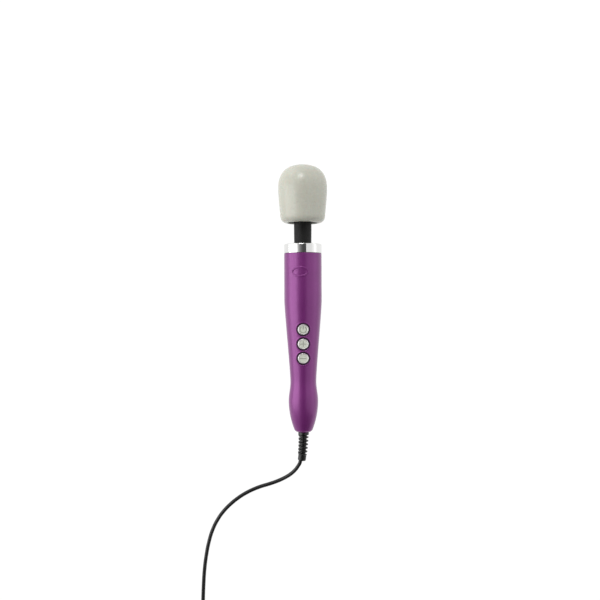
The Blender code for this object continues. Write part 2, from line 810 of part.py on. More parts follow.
def make_neck(wand, finishes):
    """The neck, which tips at the collar, and the drive shaft that turns inside it."""
    tilt = Frame("neck_tilt_axis", wand, (0.0, TILT_STATION, 0.0), station=TILT_STATION)
    tilt.take(neck_sleeve(finishes))
    spring = neck_spring(finishes)
    spring.parent = tilt.empty
    tilt.take(ring("neck_liner", finishes["white"], 0.2413, 0.2650, 0.0028, 0.0042, SMALL_STEPS))
    drive = Frame("drive_axis", tilt, (0.0, 0.0, 0.0), station=TILT_STATION)
    drive.take(rod("flex_shaft", finishes["steel"], 0.2386, 0.2679, 0.0020, PIN_STEPS, 0.0003))
    return tilt


def head_cover(finishes):
    """The soft cap: the whole outer shape of the head, open at the recess."""
    outer = head_side()
    inner = head_side(COVER_WALL)
    inner = [point for point in inner if point[0] > 0.2726]
    outline = outer + [(0.2660, 0.0194), (0.2671, 0.0191), (0.2689, 0.0194), (0.2701, 0.0221)]
    outline += inner[::-1]
    return turned("head_cover", finishes["head"], outline, HANDLE_STEPS)


def head_shell(finishes):
    """The hard cup inside the cap, with the upper bearing's socket in its crown."""
    outer = [point for point in head_side(COVER_WALL + GAP) if point[0] > 0.2726]
    inner = [point for point in head_side(COVER_WALL + 0.0025) if point[0] > 0.2756]
    crown = inner[0][0]
    socket = [
        (crown, 0.0),
        (crown, BEARING_RADIUS + GAP),
        (crown - 0.0060, BEARING_RADIUS + GAP),
        (crown - 0.0060, BEARING_RADIUS + 0.0018),
        (inner[2][0], BEARING_RADIUS + 0.0018),
    ]
    beyond = [point for point in inner if point[1] > BEARING_RADIUS + 0.004]
    outline = outer + [(0.2723, 0.0221), (0.2723, 0.0194)] + beyond[::-1] + socket[::-1]
    return turned("head_shell", finishes["black"], outline, ROUND_STEPS)


def head_base(finishes):
    """The black plate in the recess under the head, with the lower bearing's socket standing on it."""
    outline = [
        (0.2676, BASE_HOLE_RADIUS),
        (0.2676, 0.0182),
        (0.2684, 0.0188),
        (0.2696, 0.0188),
        (0.2696, 0.0170),
        (0.2861, 0.0170),
        (0.2861, BEARING_RADIUS + GAP),
        (0.2811, BEARING_RADIUS + GAP),
        (0.2811, 0.0050),
        (0.2799, 0.0050),
        (0.2799, 0.0152),
        (0.2694, 0.0152),
        (0.2694, BASE_HOLE_RADIUS),
    ]
    return turned("head_base", finishes["black"], outline)


def eccentric_weight(finishes):
    """The half-round weight that makes the head shake, hanging below its shaft."""
    outline = [(0.2885, BEARING_BORE), (0.2885, 0.0150), (0.3095, 0.0150), (0.3095, BEARING_BORE)]
    weight = turned("eccentric_weight", finishes["brass"], outline, 12, 0.0, math.pi)
    hub = ring("hub", finishes["brass"], 0.2880, 0.3100, BEARING_BORE, 0.0062, ROUND_STEPS)
    return combine(weight, hub, "UNION")


def make_head(tilt, finishes):
    """The head, which sways on the neck, and the eccentric that turns inside it."""
    sway = Frame("neck_sway_axis", tilt, (0.0, SWAY_STATION - TILT_STATION, 0.0), station=SWAY_STATION)
    sway.take(head_cover(finishes))
    sway.take(head_shell(finishes))
    sway.take(head_base(finishes))
    for name, start in (("lower", 0.2814), ("upper", 0.3285)):
        bearing = ring(
            f"head_bearing_{name}",
            finishes["steel"],
            start,
            start + BEARING_LENGTH,
            BEARING_BORE,
            BEARING_RADIUS,
            SMALL_STEPS,
        )
        sway.take(bearing)
    turning = Frame("eccentric_axis", sway, (0.0, 0.0, 0.0), station=SWAY_STATION)
    turning.take(rod("eccentric_shaft", finishes["steel"], 0.2693, 0.3330, 0.0030, SMALL_STEPS, 0.0003))
    turning.take(eccentric_weight(finishes))


# ---- strain relief, clamp and inner leads --------------------------------------------------------


def boot_centre(station):
    """The strain relief's centre line, which bends to one side and droops outside the handle."""
    reach = max(0.0, -station / BOOT_LENGTH)
    return Vector((BOOT_BEND_SIDE * reach**2, station, BOOT_BEND_DOWN * reach**2))


def boot_radius(station, angle):
    """The strain relief's outline: an end collar, a winding rib that thins towards the cord, and a flange."""
    if station < -BOOT_LENGTH + 0.0072:
        return 0.0052
    if station < -0.0042:
        share = (-station - 0.0042) / (BOOT_LENGTH - 0.0072 - 0.0042)
        wave = math.cos(2 * math.pi * (station - RIB_START) / RIB_PITCH - angle)
        return 0.0053 - 0.0004 * share + (0.0012 - 0.0002 * share) * wave
    if station < -GAP - 0.0001:
        return 0.0068
    return 0.0050


def boot_rings():
    """Stations and radii along the strain relief, from its end face to the jacket inside the handle."""
    rings = [(-BOOT_LENGTH, 0.0047), (-BOOT_LENGTH + 0.0005, None), (-BOOT_LENGTH + 0.0068, None)]
    start, end, count = -BOOT_LENGTH + 0.0076, -0.0046, 23
    rings += [(start + (end - start) * i / (count - 1), None) for i in range(count)]
    rings += [(-0.0040, 0.0065), (-0.0036, None), (-0.0008, None), (-GAP, 0.0064)]
    rings += [(-GAP + 0.00001, 0.0050), (0.0033, 0.0050)]
    rings += [(0.00331, 0.0070), (0.0052, 0.0070), (0.0058, 0.0062)]
    rings += [(0.00581, CORD_RADIUS), (0.0240, CORD_RADIUS)]
    return rings


def cord_boot(finishes):
    """The moulded strain relief: outside flange, winding rib and end collar, and the jacket's end inside."""
    bm = bmesh.new()
    loops = []
    for station, radius in boot_rings():
        centre = boot_centre(station)
        ahead = boot_centre(station + 0.0005) - boot_centre(station - 0.0005)
        side = Vector((1, 0, 0)) - ahead * (ahead.x / ahead.length_squared)
        side.normalize()
        up = side.cross(ahead).normalized()
        loop = []
        for i in range(PIN_STEPS):
            angle = 2 * math.pi * i / PIN_STEPS
            r = boot_radius(station, angle) if radius is None else radius
            loop.append(bm.verts.new(centre + r * (math.cos(angle) * side + math.sin(angle) * up)))
        loops.append(loop)
    for low, high in zip(loops, loops[1:]):
        for i in range(PIN_STEPS):
            j = (i + 1) % PIN_STEPS
            bm.faces.new((low[i], low[j], high[j], high[i]))
    bm.faces.new(loops[0])
    bm.faces.new(loops[-1])
    return add_object("cord_boot", mesh_from(bm, "cord_boot"), finishes["rubber"])


def make_inlet(wand, finishes):
    """The strain relief, and the clamp on the cord inside the tail with its two screws."""
    wand.take(cord_boot(finishes))
    size = (0.0180, 0.0060, CLAMP_THICKNESS)
    middle = (0.0, CLAMP_STATION, CLAMP_SEAT + CLAMP_THICKNESS / 2)
    clamp = block("cord_clamp", finishes["black"], size, middle, 0.0004)
    for side in (-1, 1):
        centre = (side * CLAMP_SCREW_X, CLAMP_STATION)
        hole = post("hole", finishes["black"], 0.0, 0.009, CLAMP_SCREW_RADIUS + 0.0005, centre)
        combine(clamp, hole, "DIFFERENCE")
    wand.take(clamp)
    for name, side in (("left", -1), ("right", 1)):
        top = CLAMP_SEAT + CLAMP_THICKNESS + GAP
        outline = [
            (top + 0.0014, 0.0),
            (top + 0.0014, 0.0016),
            (top + 0.0008, 0.0021),
            (top, 0.0021),
            (top, CLAMP_SCREW_RADIUS),
            (-0.0050, CLAMP_SCREW_RADIUS),
            (-0.0050, 0.0),
        ]
        centre = (side * CLAMP_SCREW_X, CLAMP_STATION)
        wand.take(turned_up(f"clamp_screw_{name}", finishes["steel"], outline, centre, PIN_STEPS))


def make_inner_leads(wand, finishes):
    """The supply leads from the cord's end to the board, and the motor's leads."""
    for name, side in (("live", -1), ("neutral", 1)):
        route = (
            (side * 0.0013, 0.0243, 0.0),
            (side * 0.0030, 0.0310, 0.0000),
            (side * 0.0062, 0.0400, 0.0000),
            (side * 0.0066, 0.0480, 0.0002),
            (side * 0.0064, 0.0600, 0.0008),
            (side * 0.0066, 0.0720, 0.0018),
            (side * 0.0072, 0.0845, 0.0034),
        )
        colour = finishes["brown"] if name == "live" else finishes["blue"]
        lead = wire(f"lead_{name}", colour, smooth_route(route, 0.004), 0.0010, 1)
        lead.parent = wand.empty
    for name, side in (("left", -1), ("right", 1)):
        route = (
            (side * 0.0070, 0.1310, 0.0071),
            (side * 0.0078, 0.1350, 0.0060),
            (side * 0.0082, 0.1400, 0.0050),
            (side * 0.0082, 0.1470, 0.0046),
        )
        colour = finishes["brown"] if name == "left" else finishes["blue"]
        lead = wire(f"motor_lead_{name}", colour, smooth_route(route, 0.003), 0.0010, 1)
        lead.parent = wand.empty


# ---- mains lead and plug -------------------------------------------------------------------------


def cord_coil(finishes):
    """The outer shape of the coiled lead: turns side by side in layers, as one ring."""
    half = COIL_TURNS_ACROSS * CORD_RADIUS
    height = 2 * COIL_LAYERS * CORD_RADIUS
    corner = CORD_RADIUS * 0.6
    inner, outer = COIL_RADIUS - half, COIL_RADIUS + half
    outline = [
        (0.0, inner + corner),
        (0.0, outer - corner),
        (corner, outer),
        (height - corner, outer),
        (height, outer - corner),
        (height, inner + corner),
        (height - corner, inner),
        (corner, inner),
    ]
    coil = turned("cord_coil", finishes["rubber"], outline, 24)
    coil.data.transform(Matrix.Rotation(math.radians(90), 4, "X"))
    coil.location = (*COIL_CENTRE, 0.0)
    return coil


def cord_tie(finishes):
    """A rubber tie clipped over the coil's turns, on the side nearest the wand."""
    width, thick = 0.007, 0.0012
    half = COIL_TURNS_ACROSS * CORD_RADIUS + GAP
    inside = half + 0.0005
    height = 2 * COIL_LAYERS * CORD_RADIUS + GAP
    outline = [
        (half, 0.0),
        (half + thick, 0.0),
        (half + thick, height),
        (half, height + thick),
        (-inside, height + thick),
        (-inside - thick, height),
        (-inside - thick, 0.0),
        (-inside, 0.0),
        (-inside, height),
        (half, height),
    ]
    tie = extruded("cord_tie", finishes["black"], outline, -width / 2, width / 2)
    tie.data.transform(Matrix.Rotation(math.radians(90), 4, "X"))
    tie.rotation_euler = (0.0, 0.0, math.radians(62))
    reach = Vector((COIL_RADIUS, 0.0, 0.0))
    reach.rotate(tie.rotation_euler)
    tie.location = (COIL_CENTRE[0] + reach.x, COIL_CENTRE[1] + reach.y, 0.0)
    return tie


def plug_body(finishes):
    """The flat plug lying on its side, narrowing to a tapered strain relief where the lead comes in."""
    front = PLUG_FRONT_X
    half_side = [
        (front, 0.0160),
        (front - 0.0016, 0.0176),
        (front - 0.0150, 0.0176),
        (front - 0.0230, 0.0150),
        (front - 0.0320, 0.0090),
        (front - 0.0360, 0.0072),
    ]
    outline = half_side + [(x, -y) for x, y in reversed(half_side)]
    body = extruded("plug_body", finishes["black"], outline, 0.0, PLUG_THICKNESS, 0.0012)
    relief = rod("relief", finishes["black"], 0.0, 0.0240, 0.0055, SMALL_STEPS)
    for corner in relief.data.vertices:
        narrowing = 1.0 - 0.35 * corner.co.y / 0.0240
        corner.co.x *= narrowing
        corner.co.z *= narrowing
    relief.data.transform(Matrix.Rotation(math.radians(90), 4, "Z"))
    relief.data.transform(Matrix.Translation((front - 0.0355, 0.0, PLUG_THICKNESS / 2)))
    combine(body, relief, "UNION")
    for side in (-1, 1):
        hole = rod("hole", finishes["black"], -0.008, 0.004, PIN_RADIUS + GAP, SMALL_STEPS)
        hole.data.transform(Matrix.Rotation(math.radians(-90), 4, "Z"))
        hole.data.transform(Matrix.Translation((front, side * PIN_SPACING / 2, PLUG_THICKNESS / 2)))
        combine(body, hole, "DIFFERENCE")
    body.location = (0.0, TAIL_ROUTE[-1][1], 0.0)
    return body


def plug_pin(name, finishes, side):
    """A round plug pin with a rounded tip."""
    tip = PIN_LENGTH
    outline = [
        (-0.0076, 0.0),
        (-0.0076, PIN_RADIUS),
        (tip - 0.0012, PIN_RADIUS),
        (tip - 0.0003, PIN_RADIUS * 0.65),
        (tip, 0.0),
    ]
    pin = turned(f"plug_pin_{name}", finishes["brass"], outline, SMALL_STEPS)
    pin.data.transform(Matrix.Rotation(math.radians(-90), 4, "Z"))
    pin.location = (PLUG_FRONT_X, TAIL_ROUTE[-1][1] + side * PIN_SPACING / 2, PLUG_THICKNESS / 2)
    return pin


def make_lead(finishes):
    """The mains lead on the ground, from the strain relief through its coil to the plug."""
    wire("cord_tube", finishes["rubber"], smooth_route(LEAD_ROUTE, LEAD_STEP), CORD_RADIUS)
    wire("cord_tail", finishes["rubber"], smooth_route(TAIL_ROUTE, LEAD_STEP), CORD_RADIUS)
    cord_coil(finishes)
    cord_tie(finishes)
    plug_body(finishes)
    plug_pin("left", finishes, -1)
    plug_pin("right", finishes, 1)


# ---- the whole part ------------------------------------------------------------------------------


def main():
    """Build every sub-part in an empty scene."""
    for obj in list(bpy.data.objects):
        bpy.data.objects.remove(obj)
    finishes = make_finishes()
    slope, height = resting_line()
    lean = math.atan(slope)
    wand = Frame("wand_axis", None, (0.0, WAND_CENTRE_Y, height * math.cos(lean)), lean)
    make_handle(wand, finishes)
    make_keys(wand, finishes)
    make_motor(wand, finishes)
    make_inlet(wand, finishes)
    make_inner_leads(wand, finishes)
    tilt = make_neck(wand, finishes)
    make_head(tilt, finishes)
    make_lead(finishes)
    bpy.context.view_layer.update()


main()
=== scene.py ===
import json
import math

import bmesh
import bpy
from mathutils import Matrix, Vector


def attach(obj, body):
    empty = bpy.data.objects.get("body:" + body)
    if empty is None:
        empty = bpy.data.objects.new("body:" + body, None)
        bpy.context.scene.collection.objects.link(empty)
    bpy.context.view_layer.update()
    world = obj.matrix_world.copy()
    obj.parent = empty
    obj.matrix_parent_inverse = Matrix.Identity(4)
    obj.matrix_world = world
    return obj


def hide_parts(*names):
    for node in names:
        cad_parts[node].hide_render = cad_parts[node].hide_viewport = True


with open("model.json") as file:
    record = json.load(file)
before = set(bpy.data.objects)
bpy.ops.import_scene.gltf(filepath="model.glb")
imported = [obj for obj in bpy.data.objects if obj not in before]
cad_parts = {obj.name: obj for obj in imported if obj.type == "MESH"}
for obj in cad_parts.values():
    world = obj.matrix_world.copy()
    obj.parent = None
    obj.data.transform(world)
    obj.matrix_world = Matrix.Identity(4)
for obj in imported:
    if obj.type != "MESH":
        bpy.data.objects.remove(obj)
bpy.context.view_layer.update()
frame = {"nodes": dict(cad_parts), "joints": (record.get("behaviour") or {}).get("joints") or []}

# ---- the wand's own frame: X across, Y from tail to head, Z up through the buttons ----

TILT_STATION = 0.238
JOINTS = {joint["name"]: joint for joint in frame["joints"]}
ALONG = Vector(JOINTS["motor_spin"]["axis"]).normalized()
ACROSS = Vector((1.0, 0.0, 0.0))
OUT = ACROSS.cross(ALONG)
TAIL_END = Vector(JOINTS["neck_tilt"]["pos_m"]) - ALONG * TILT_STATION
WAND = Matrix.Translation(TAIL_END) @ Matrix((ACROSS, ALONG, OUT)).transposed().to_4x4()
KEY_OUT = -Vector(JOINTS["power_press"]["axis"]).normalized()
KEY_SLOPE = OUT.angle(KEY_OUT)

# ---- sizes, in metres, as in the CAD model ----

TOTAL_LENGTH = 0.34
HEAD_RADIUS = 0.0313
GRIP_RADIUS = 0.0239
WAIST_RADIUS = 0.0165
BULGE_RADIUS = 0.0188
NECK_RADIUS = 0.0112
WALL = 0.002
INLET_RADIUS = 0.0053
SHELL_TOP = 0.2269
SPIGOT_RADIUS = 0.0208
SPIGOT_TOP = 0.2367
COLLAR_RADIUS = 0.0242
COLLAR_TOP = 0.2392
HEAD_BOTTOM = 0.2658

TAIL_SPAN = ((0.0024, 0.0115), (0.012, 0.0156), (0.026, BULGE_RADIUS), (0.039, BULGE_RADIUS))
WAIST_SPAN = (
    (0.039, BULGE_RADIUS), (0.048, BULGE_RADIUS), (0.055, WAIST_RADIUS), (0.064, WAIST_RADIUS),
)
GRIP_SPAN = ((0.064, WAIST_RADIUS), (0.078, WAIST_RADIUS), (0.154, GRIP_RADIUS), (0.168, GRIP_RADIUS))
CROWN_SPAN = ((TOTAL_LENGTH, 0.0), (TOTAL_LENGTH, 0.0241), (0.3266, HEAD_RADIUS), (0.31, HEAD_RADIUS))
SIDE_SPAN = ((0.31, HEAD_RADIUS), (0.301, HEAD_RADIUS), (0.287, 0.0297), (0.277, 0.0288))
RIM_SPAN = ((0.277, 0.0288), (0.2725, 0.0286), (0.2663, 0.028), (HEAD_BOTTOM, 0.02))

KEY_STATION = 0.1125
KEY_PITCH = 0.0182
KEY_RADIUS = 0.0068
KEY_HOLE_RADIUS = 0.0085
KEY_NAMES = ("minus", "plus", "power")
SCREW_STATIONS = {"lower": 0.044, "upper": 0.143}

BOOT_LENGTH = 0.0366
BOOT_BEND_SIDE = -0.0024
BOOT_BEND_DOWN = -0.0016
RIB_PITCH = 0.0045
RIB_START = -0.0071

CORD_RADIUS = 0.0024
COIL_CENTRE = (-0.0914, -0.4137)
COIL_RADIUS = 0.0288
COIL_ACROSS = 5
PLUG_FRONT_X = 0.008
PLUG_Y = -0.4473
PLUG_THICKNESS = 0.0137
PLUG_LENGTH = 0.036
PIN_SPACING = 0.0186
PIN_RADIUS = 0.002
PIN_LENGTH = 0.019

# The lead's way over the floor, as in the CAD model: x, y, z of its centre line.
LEAD_ROUTE = (
    (-0.004, -0.1884, 0.0135), (-0.0051, -0.1922, 0.0127), (-0.0074, -0.1962, 0.0113),
    (-0.0106, -0.2007, 0.0096), (-0.0151, -0.2053, 0.0077), (-0.0208, -0.2095, 0.006),
    (-0.0275, -0.2133, 0.0043), (-0.0355, -0.2169, 0.0031), (-0.045, -0.2202, 0.0025),
    (-0.0555, -0.2233, 0.0024), (-0.065, -0.2269, 0.0024), (-0.0745, -0.2315, 0.0024),
    (-0.0845, -0.2377, 0.0024), (-0.094, -0.2452, 0.0024), (-0.103, -0.2542, 0.0024),
    (-0.111, -0.2652, 0.0024), (-0.1175, -0.2782, 0.0024), (-0.1222, -0.2932, 0.0024),
    (-0.1255, -0.3097, 0.0024), (-0.1278, -0.3277, 0.0024), (-0.1291, -0.3487, 0.0024),
    (-0.1297, -0.3702, 0.0024), (-0.1298, -0.3917, 0.0024),
)


# ---- camera ----

CAMERA_DISTANCE = 0.9354
CAMERA_STATION = 0.1677
CAMERA_ASIDE = -0.00385
CAMERA_ROLL = math.radians(-0.235)
LENS = 44.0


def add_object(name, data):
    obj = bpy.data.objects.new(name, data)
    bpy.context.scene.collection.objects.link(obj)
    return obj


def make_camera():
    """A camera square on to the wand's axis, a little under a metre above it."""
    data = bpy.data.cameras.new("camera")
    data.lens = LENS
    data.sensor_width = 36.0
    data.clip_start = 0.01
    data.clip_end = 50.0
    camera = add_object("camera", data)
    place = Matrix.Translation((CAMERA_ASIDE, CAMERA_STATION, CAMERA_DISTANCE))
    camera.matrix_world = WAND @ place @ Matrix.Rotation(CAMERA_ROLL, 4, "Z")
    bpy.context.scene.camera = camera


make_camera()


# ---- modelling tools ----


def smoothstep(low, high, value):
    """0 below low, 1 above high, and smooth between."""
    t = min(1.0, max(0.0, (value - low) / (high - low)))
    return t * t * (3 - 2 * t)


def bezier(span, steps):
    """Points along a Bezier span, without its first point."""
    p0, p1, p2, p3 = (Vector(point) for point in span)
    points = []
    for i in range(1, steps + 1):
        t = i / steps
        u = 1.0 - t
        point = u**3 * p0 + 3 * u * u * t * p1 + 3 * u * t * t * p2 + t**3 * p3
        points.append(tuple(point))
    return points


def rounded(corners, steps=5):
    """A closed outline with its corners rounded: corners are (x, y, radius)."""
    points = []
    count = len(corners)
    for i, (x, y, radius) in enumerate(corners):
        here = Vector((x, y))
        if radius <= 0.0:
            points.append((x, y))
            continue
        before = Vector(corners[i - 1][:2]) - here
        after = Vector(corners[(i + 1) % count][:2]) - here
        start = here + before.normalized() * min(radius, 0.49 * before.length)
        end = here + after.normalized() * min(radius, 0.49 * after.length)
        for k in range(steps + 1):
            t = k / steps
            point = (1 - t) ** 2 * start + 2 * t * (1 - t) * here + t * t * end
            points.append((point.x, point.y))
    return points


def mesh_object(name, bm, sharp_above=40.0):
    """A closed shape as a new object, shaded smooth between its sharp edges."""
    bmesh.ops.recalc_face_normals(bm, faces=bm.faces)
    mesh = bpy.data.meshes.new(name)
    bm.to_mesh(mesh)
    bm.free()
    mesh.shade_smooth()
    mesh.set_sharp_from_angle(angle=math.radians(sharp_above))
    return add_object(name, mesh)


def grid_mesh(bm, rows, closed_rows=False):
    """Faces between rows of points. A row is a list of points, or one point where the shape closes."""
    made = [[bm.verts.new(point) for point in row] for row in rows]
    pairs = list(zip(made, made[1:]))
    if closed_rows:
        pairs.append((made[-1], made[0]))
    for low, high in pairs:
        count = max(len(low), len(high))
        for i in range(count):
            j = (i + 1) % count
            if len(low) == 1 and len(high) == 1:
                continue
            if len(low) == 1:
                bm.faces.new((low[0], high[j], high[i]))
            elif len(high) == 1:
                bm.faces.new((low[i], low[j], high[0]))
            else:
                bm.faces.new((low[i], low[j], high[j], high[i]))
    return made


def lathe(name, outline, steps=96, sharp_above=40.0):
    """A closed outline of (station, radius) turned about the wand's axis."""
    bm = bmesh.new()
    rows = []
    for station, radius in outline:
        if radius < 1e-7:
            rows.append([(0.0, station, 0.0)])
            continue
        angles = (2 * math.pi * i / steps for i in range(steps))
        rows.append([(radius * math.cos(a), station, radius * math.sin(a)) for a in angles])
    grid_mesh(bm, rows, closed_rows=not (len(rows[0]) == 1 and len(rows[-1]) == 1))
    return mesh_object(name, bm, sharp_above)


def lathe_up(name, outline, steps=64, sharp_above=40.0):
    """A closed outline of (height, radius) turned about a vertical line."""
    obj = lathe(name, outline, steps, sharp_above)
    obj.data.transform(Matrix.Rotation(math.radians(90), 4, "X"))
    return obj


def sweep(name, path, section, closed=False, up=Vector((0.0, 0.0, 1.0))):
    """A section of (sideways, upwards) swept along a path, with flat ends."""
    bm = bmesh.new()
    rows = []
    count = len(path)
    for i, point in enumerate(path):
        before = path[i - 1] if closed or i > 0 else path[i]
        after = path[(i + 1) % count] if closed or i < count - 1 else path[i]
        ahead = (Vector(after) - Vector(before)).normalized()
        side = ahead.cross(up).normalized()
        top = side.cross(ahead)
        rows.append([Vector(point) + side * a + top * b for a, b in section])
    made = grid_mesh(bm, rows, closed_rows=closed)
    if not closed:
        bm.faces.new(made[0])
        bm.faces.new(made[-1])
    return mesh_object(name, bm)


def oblong(half_x, half_y, *radius, middle=0.0):
    """The corners of an oblong centred on (middle, 0), each with its rounding if one is given."""
    signs = ((-1, -1), (1, -1), (1, 1), (-1, 1))
    return [(middle + sx * half_x, sy * half_y, *radius) for sx, sy in signs]


def prism(name, outline, low, high, bevel=0.0, segments=3):
    """A closed outline of (x, y) between two heights, with its edges rounded."""
    bm = bmesh.new()
    corners = [bm.verts.new((x, y, low)) for x, y in outline]
    face = bm.faces.new(corners)
    grown = bmesh.ops.extrude_face_region(bm, geom=[face])
    raised = [part for part in grown["geom"] if isinstance(part, bmesh.types.BMVert)]
    bmesh.ops.translate(bm, vec=(0, 0, high - low), verts=raised)
    if bevel:
        flat = [e for e in bm.edges if abs(e.verts[0].co.z - e.verts[1].co.z) < 1e-9]
        bmesh.ops.bevel(bm, geom=flat, offset=bevel, segments=segments, profile=0.6, affect="EDGES")
    return mesh_object(name, bm)


def combine(target, tool, operation):
    """Cut a tool out of the target, or join it on."""
    boolean = target.modifiers.new(operation, "BOOLEAN")
    boolean.operation = operation
    boolean.solver = "EXACT"
    boolean.object = tool
    bpy.context.view_layer.update()
    evaluated = target.evaluated_get(bpy.context.evaluated_depsgraph_get())
    mesh = bpy.data.meshes.new_from_object(evaluated)
    target.modifiers.clear()
    target.data = mesh
    bpy.data.objects.remove(tool)
    mesh.shade_smooth()
    mesh.set_sharp_from_angle(angle=math.radians(35))


def join(parts, name):
    """Several objects as one."""
    bpy.ops.object.select_all(action="DESELECT")
    for part in parts:
        part.select_set(True)
    bpy.context.view_layer.objects.active = parts[0]
    bpy.ops.object.join()
    parts[0].name = name
    return parts[0]


def settle(obj, matrix, material, body, slot, *nodes):
    """Put a finished piece in its place, on its body, with its material, for these CAD nodes."""
    obj.data.transform(matrix)
    obj.data.materials.clear()
    obj.data.materials.append(material)
    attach(obj, body)
    if nodes:
        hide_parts(*nodes)
    return obj


# ---- materials ----


def add_node(tree, kind, inputs=None, **settings):
    """A shader node with its settings, and with inputs that hold a value or a link to an output."""
    node = tree.nodes.new(kind)
    for name, value in settings.items():
        setattr(node, name, value)
    for name, value in (inputs or {}).items():
        if isinstance(value, bpy.types.NodeSocket):
            tree.links.new(value, node.inputs[name])
        else:
            node.inputs[name].default_value = value
    return node


def calculate(tree, operation, a, b):
    return add_node(tree, "ShaderNodeMath", {0: a, 1: b}, operation=operation).outputs["Value"]


def map_range(tree, value, low, high, start=0.0, end=1.0):
    """The value from low..high put on start..end."""
    inputs = {"Value": value, "From Min": low, "From Max": high, "To Min": start, "To Max": end}
    return add_node(tree, "ShaderNodeMapRange", inputs).outputs["Result"]


class Finish:
    """A material under construction: a Principled shader and the nodes that feed it."""

    def __init__(self, name, **values):
        """Uniform values go on the shader's own sockets, with underscores for spaces."""
        self.material = bpy.data.materials.new(name)
        self.material.use_nodes = True
        self.tree = self.material.node_tree
        self.shader = self.tree.nodes["Principled BSDF"]
        for socket, value in values.items():
            self.shader.inputs[socket.replace("_", " ")].default_value = value
        self.place = add_node(self.tree, "ShaderNodeTexCoord").outputs["Object"]
        self.relief = None

    def noise(self, scale, detail=4.0, rough=0.55, stretch=None):
        place = self.place
        if stretch:
            mapping = add_node(self.tree, "ShaderNodeMapping", {"Vector": place, "Scale": stretch})
            place = mapping.outputs["Vector"]
        inputs = {"Vector": place, "Scale": scale, "Detail": detail, "Roughness": rough}
        return add_node(self.tree, "ShaderNodeTexNoise", inputs).outputs["Fac"]

    def cells(self, scale, feature="F1", output="Distance"):
        inputs = {"Vector": self.place, "Scale": scale}
        return add_node(self.tree, "ShaderNodeTexVoronoi", inputs, feature=feature).outputs[output]

    def edges(self):
        """How sharply the surface bulges, as mark_edges wrote it."""
        return add_node(self.tree, "ShaderNodeAttribute", attribute_name="edge").outputs["Fac"]

    def spread(self, value, low, high, start=0.0, end=1.0):
        return map_range(self.tree, value, low, high, start, end)

    def times(self, a, b):
        return calculate(self.tree, "MULTIPLY", a, b)

    def mix(self, share, *colours):
        """Two colours mixed by a share; each colour is three numbers or an output."""
        a, b = ((*colour, 1.0) if isinstance(colour, tuple) else colour for colour in colours)
        inputs = {"Factor": share, 6: a, 7: b}
        return add_node(self.tree, "ShaderNodeMix", inputs, data_type="RGBA").outputs[2]

    def colour(self, output):
        self.tree.links.new(output, self.shader.inputs["Base Color"])

    def roughness(self, output):
        self.tree.links.new(output, self.shader.inputs["Roughness"])

    def bump(self, height, distance):
        """A layer of relief; layers add up."""
        inputs = {"Height": height, "Distance": distance, "Strength": 1.0}
        if self.relief:
            inputs["Normal"] = self.relief
        self.relief = add_node(self.tree, "ShaderNodeBump", inputs).outputs["Normal"]
        self.tree.links.new(self.relief, self.shader.inputs["Normal"])


def scaled(colour, factor):
    return tuple(min(1.0, channel * factor) for channel in colour)


def purple_lacquer():
    """Satin metallic lacquer: fine flakes, a faint orange-peel relief, soft smudges and rubbed edges."""
    base = (0.186, 0.0225, 0.177)
    coat = {"Coat_Weight": 0.3, "Coat_Roughness": 0.27}
    f = Finish("purple_lacquer", Metallic=0.35, Specular_IOR_Level=0.45, **coat)
    drift = f.spread(f.noise(38.0, 3.0), 0.3, 0.7)
    body = f.mix(drift, scaled(base, 0.95), scaled(base, 1.05))
    flake = f.spread(f.cells(3600.0, output="Color"), 0.55, 1.0, 0.0, 0.22)
    body = f.mix(flake, body, scaled(base, 1.7))
    worn = f.times(f.edges(), f.spread(f.noise(420.0), 0.45, 0.7))
    f.colour(f.mix(f.times(worn, 0.5), body, scaled(base, 1.6)))
    f.roughness(f.spread(f.noise(55.0, 6.0, 0.65), 0.35, 0.75, 0.31, 0.4))
    f.bump(f.noise(900.0, 2.0), 0.000012)
    f.bump(f.cells(3600.0), 0.000004)
    return f.material


def polished_metal(name="polished_metal", base=(0.785, 0.785, 0.775), low=0.05, high=0.12):
    """Polished metal with faint turning lines and a few smudges."""
    f = Finish(name, Metallic=1.0)
    tint = f.spread(f.noise(60.0), 0.3, 0.7)
    f.colour(f.mix(tint, scaled(base, 0.97), base))
    f.roughness(f.spread(f.noise(90.0, 6.0, 0.7), 0.4, 0.75, low, high))
    f.bump(f.noise(1.0, 3.0, stretch=(20.0, 9000.0, 20.0)), 0.0000015)
    return f.material


def head_rubber():
    """Soft grey-beige silicone: a fine matt skin with faint mottling."""
    base = (0.475, 0.475, 0.408)
    f = Finish("head_rubber", Specular_IOR_Level=0.45, Subsurface_Weight=0.06, Subsurface_Scale=0.002)
    drift = f.spread(f.noise(26.0, 5.0), 0.3, 0.7)
    body = f.mix(drift, scaled(base, 0.97), scaled(base, 1.03))
    dust = f.spread(f.noise(1500.0, 2.0), 0.6, 0.8, 0.0, 0.1)
    f.colour(f.mix(dust, body, scaled(base, 1.15)))
    f.roughness(f.spread(f.noise(120.0, 5.0), 0.3, 0.7, 0.25, 0.31))
    f.bump(f.noise(2600.0, 3.0), 0.000016)
    f.bump(f.noise(300.0, 2.0), 0.00002)
    return f.material


def black_rubber(name, base, low, high, grain, gloss):
    """Black rubber with a fine moulded grain, a bloom of lighter dust, and rubbed edges."""
    f = Finish(name, Specular_IOR_Level=gloss)
    bloom = f.spread(f.noise(70.0, 6.0, 0.65), 0.45, 0.8, 0.0, 0.35)
    body = f.mix(bloom, base, scaled(base, 1.9))
    f.colour(f.mix(f.times(f.edges(), 0.55), body, scaled(base, 2.4)))
    f.roughness(f.spread(f.noise(160.0, 5.0), 0.3, 0.7, low, high))
    f.bump(f.noise(grain, 2.0), 0.00002)
    return f.material


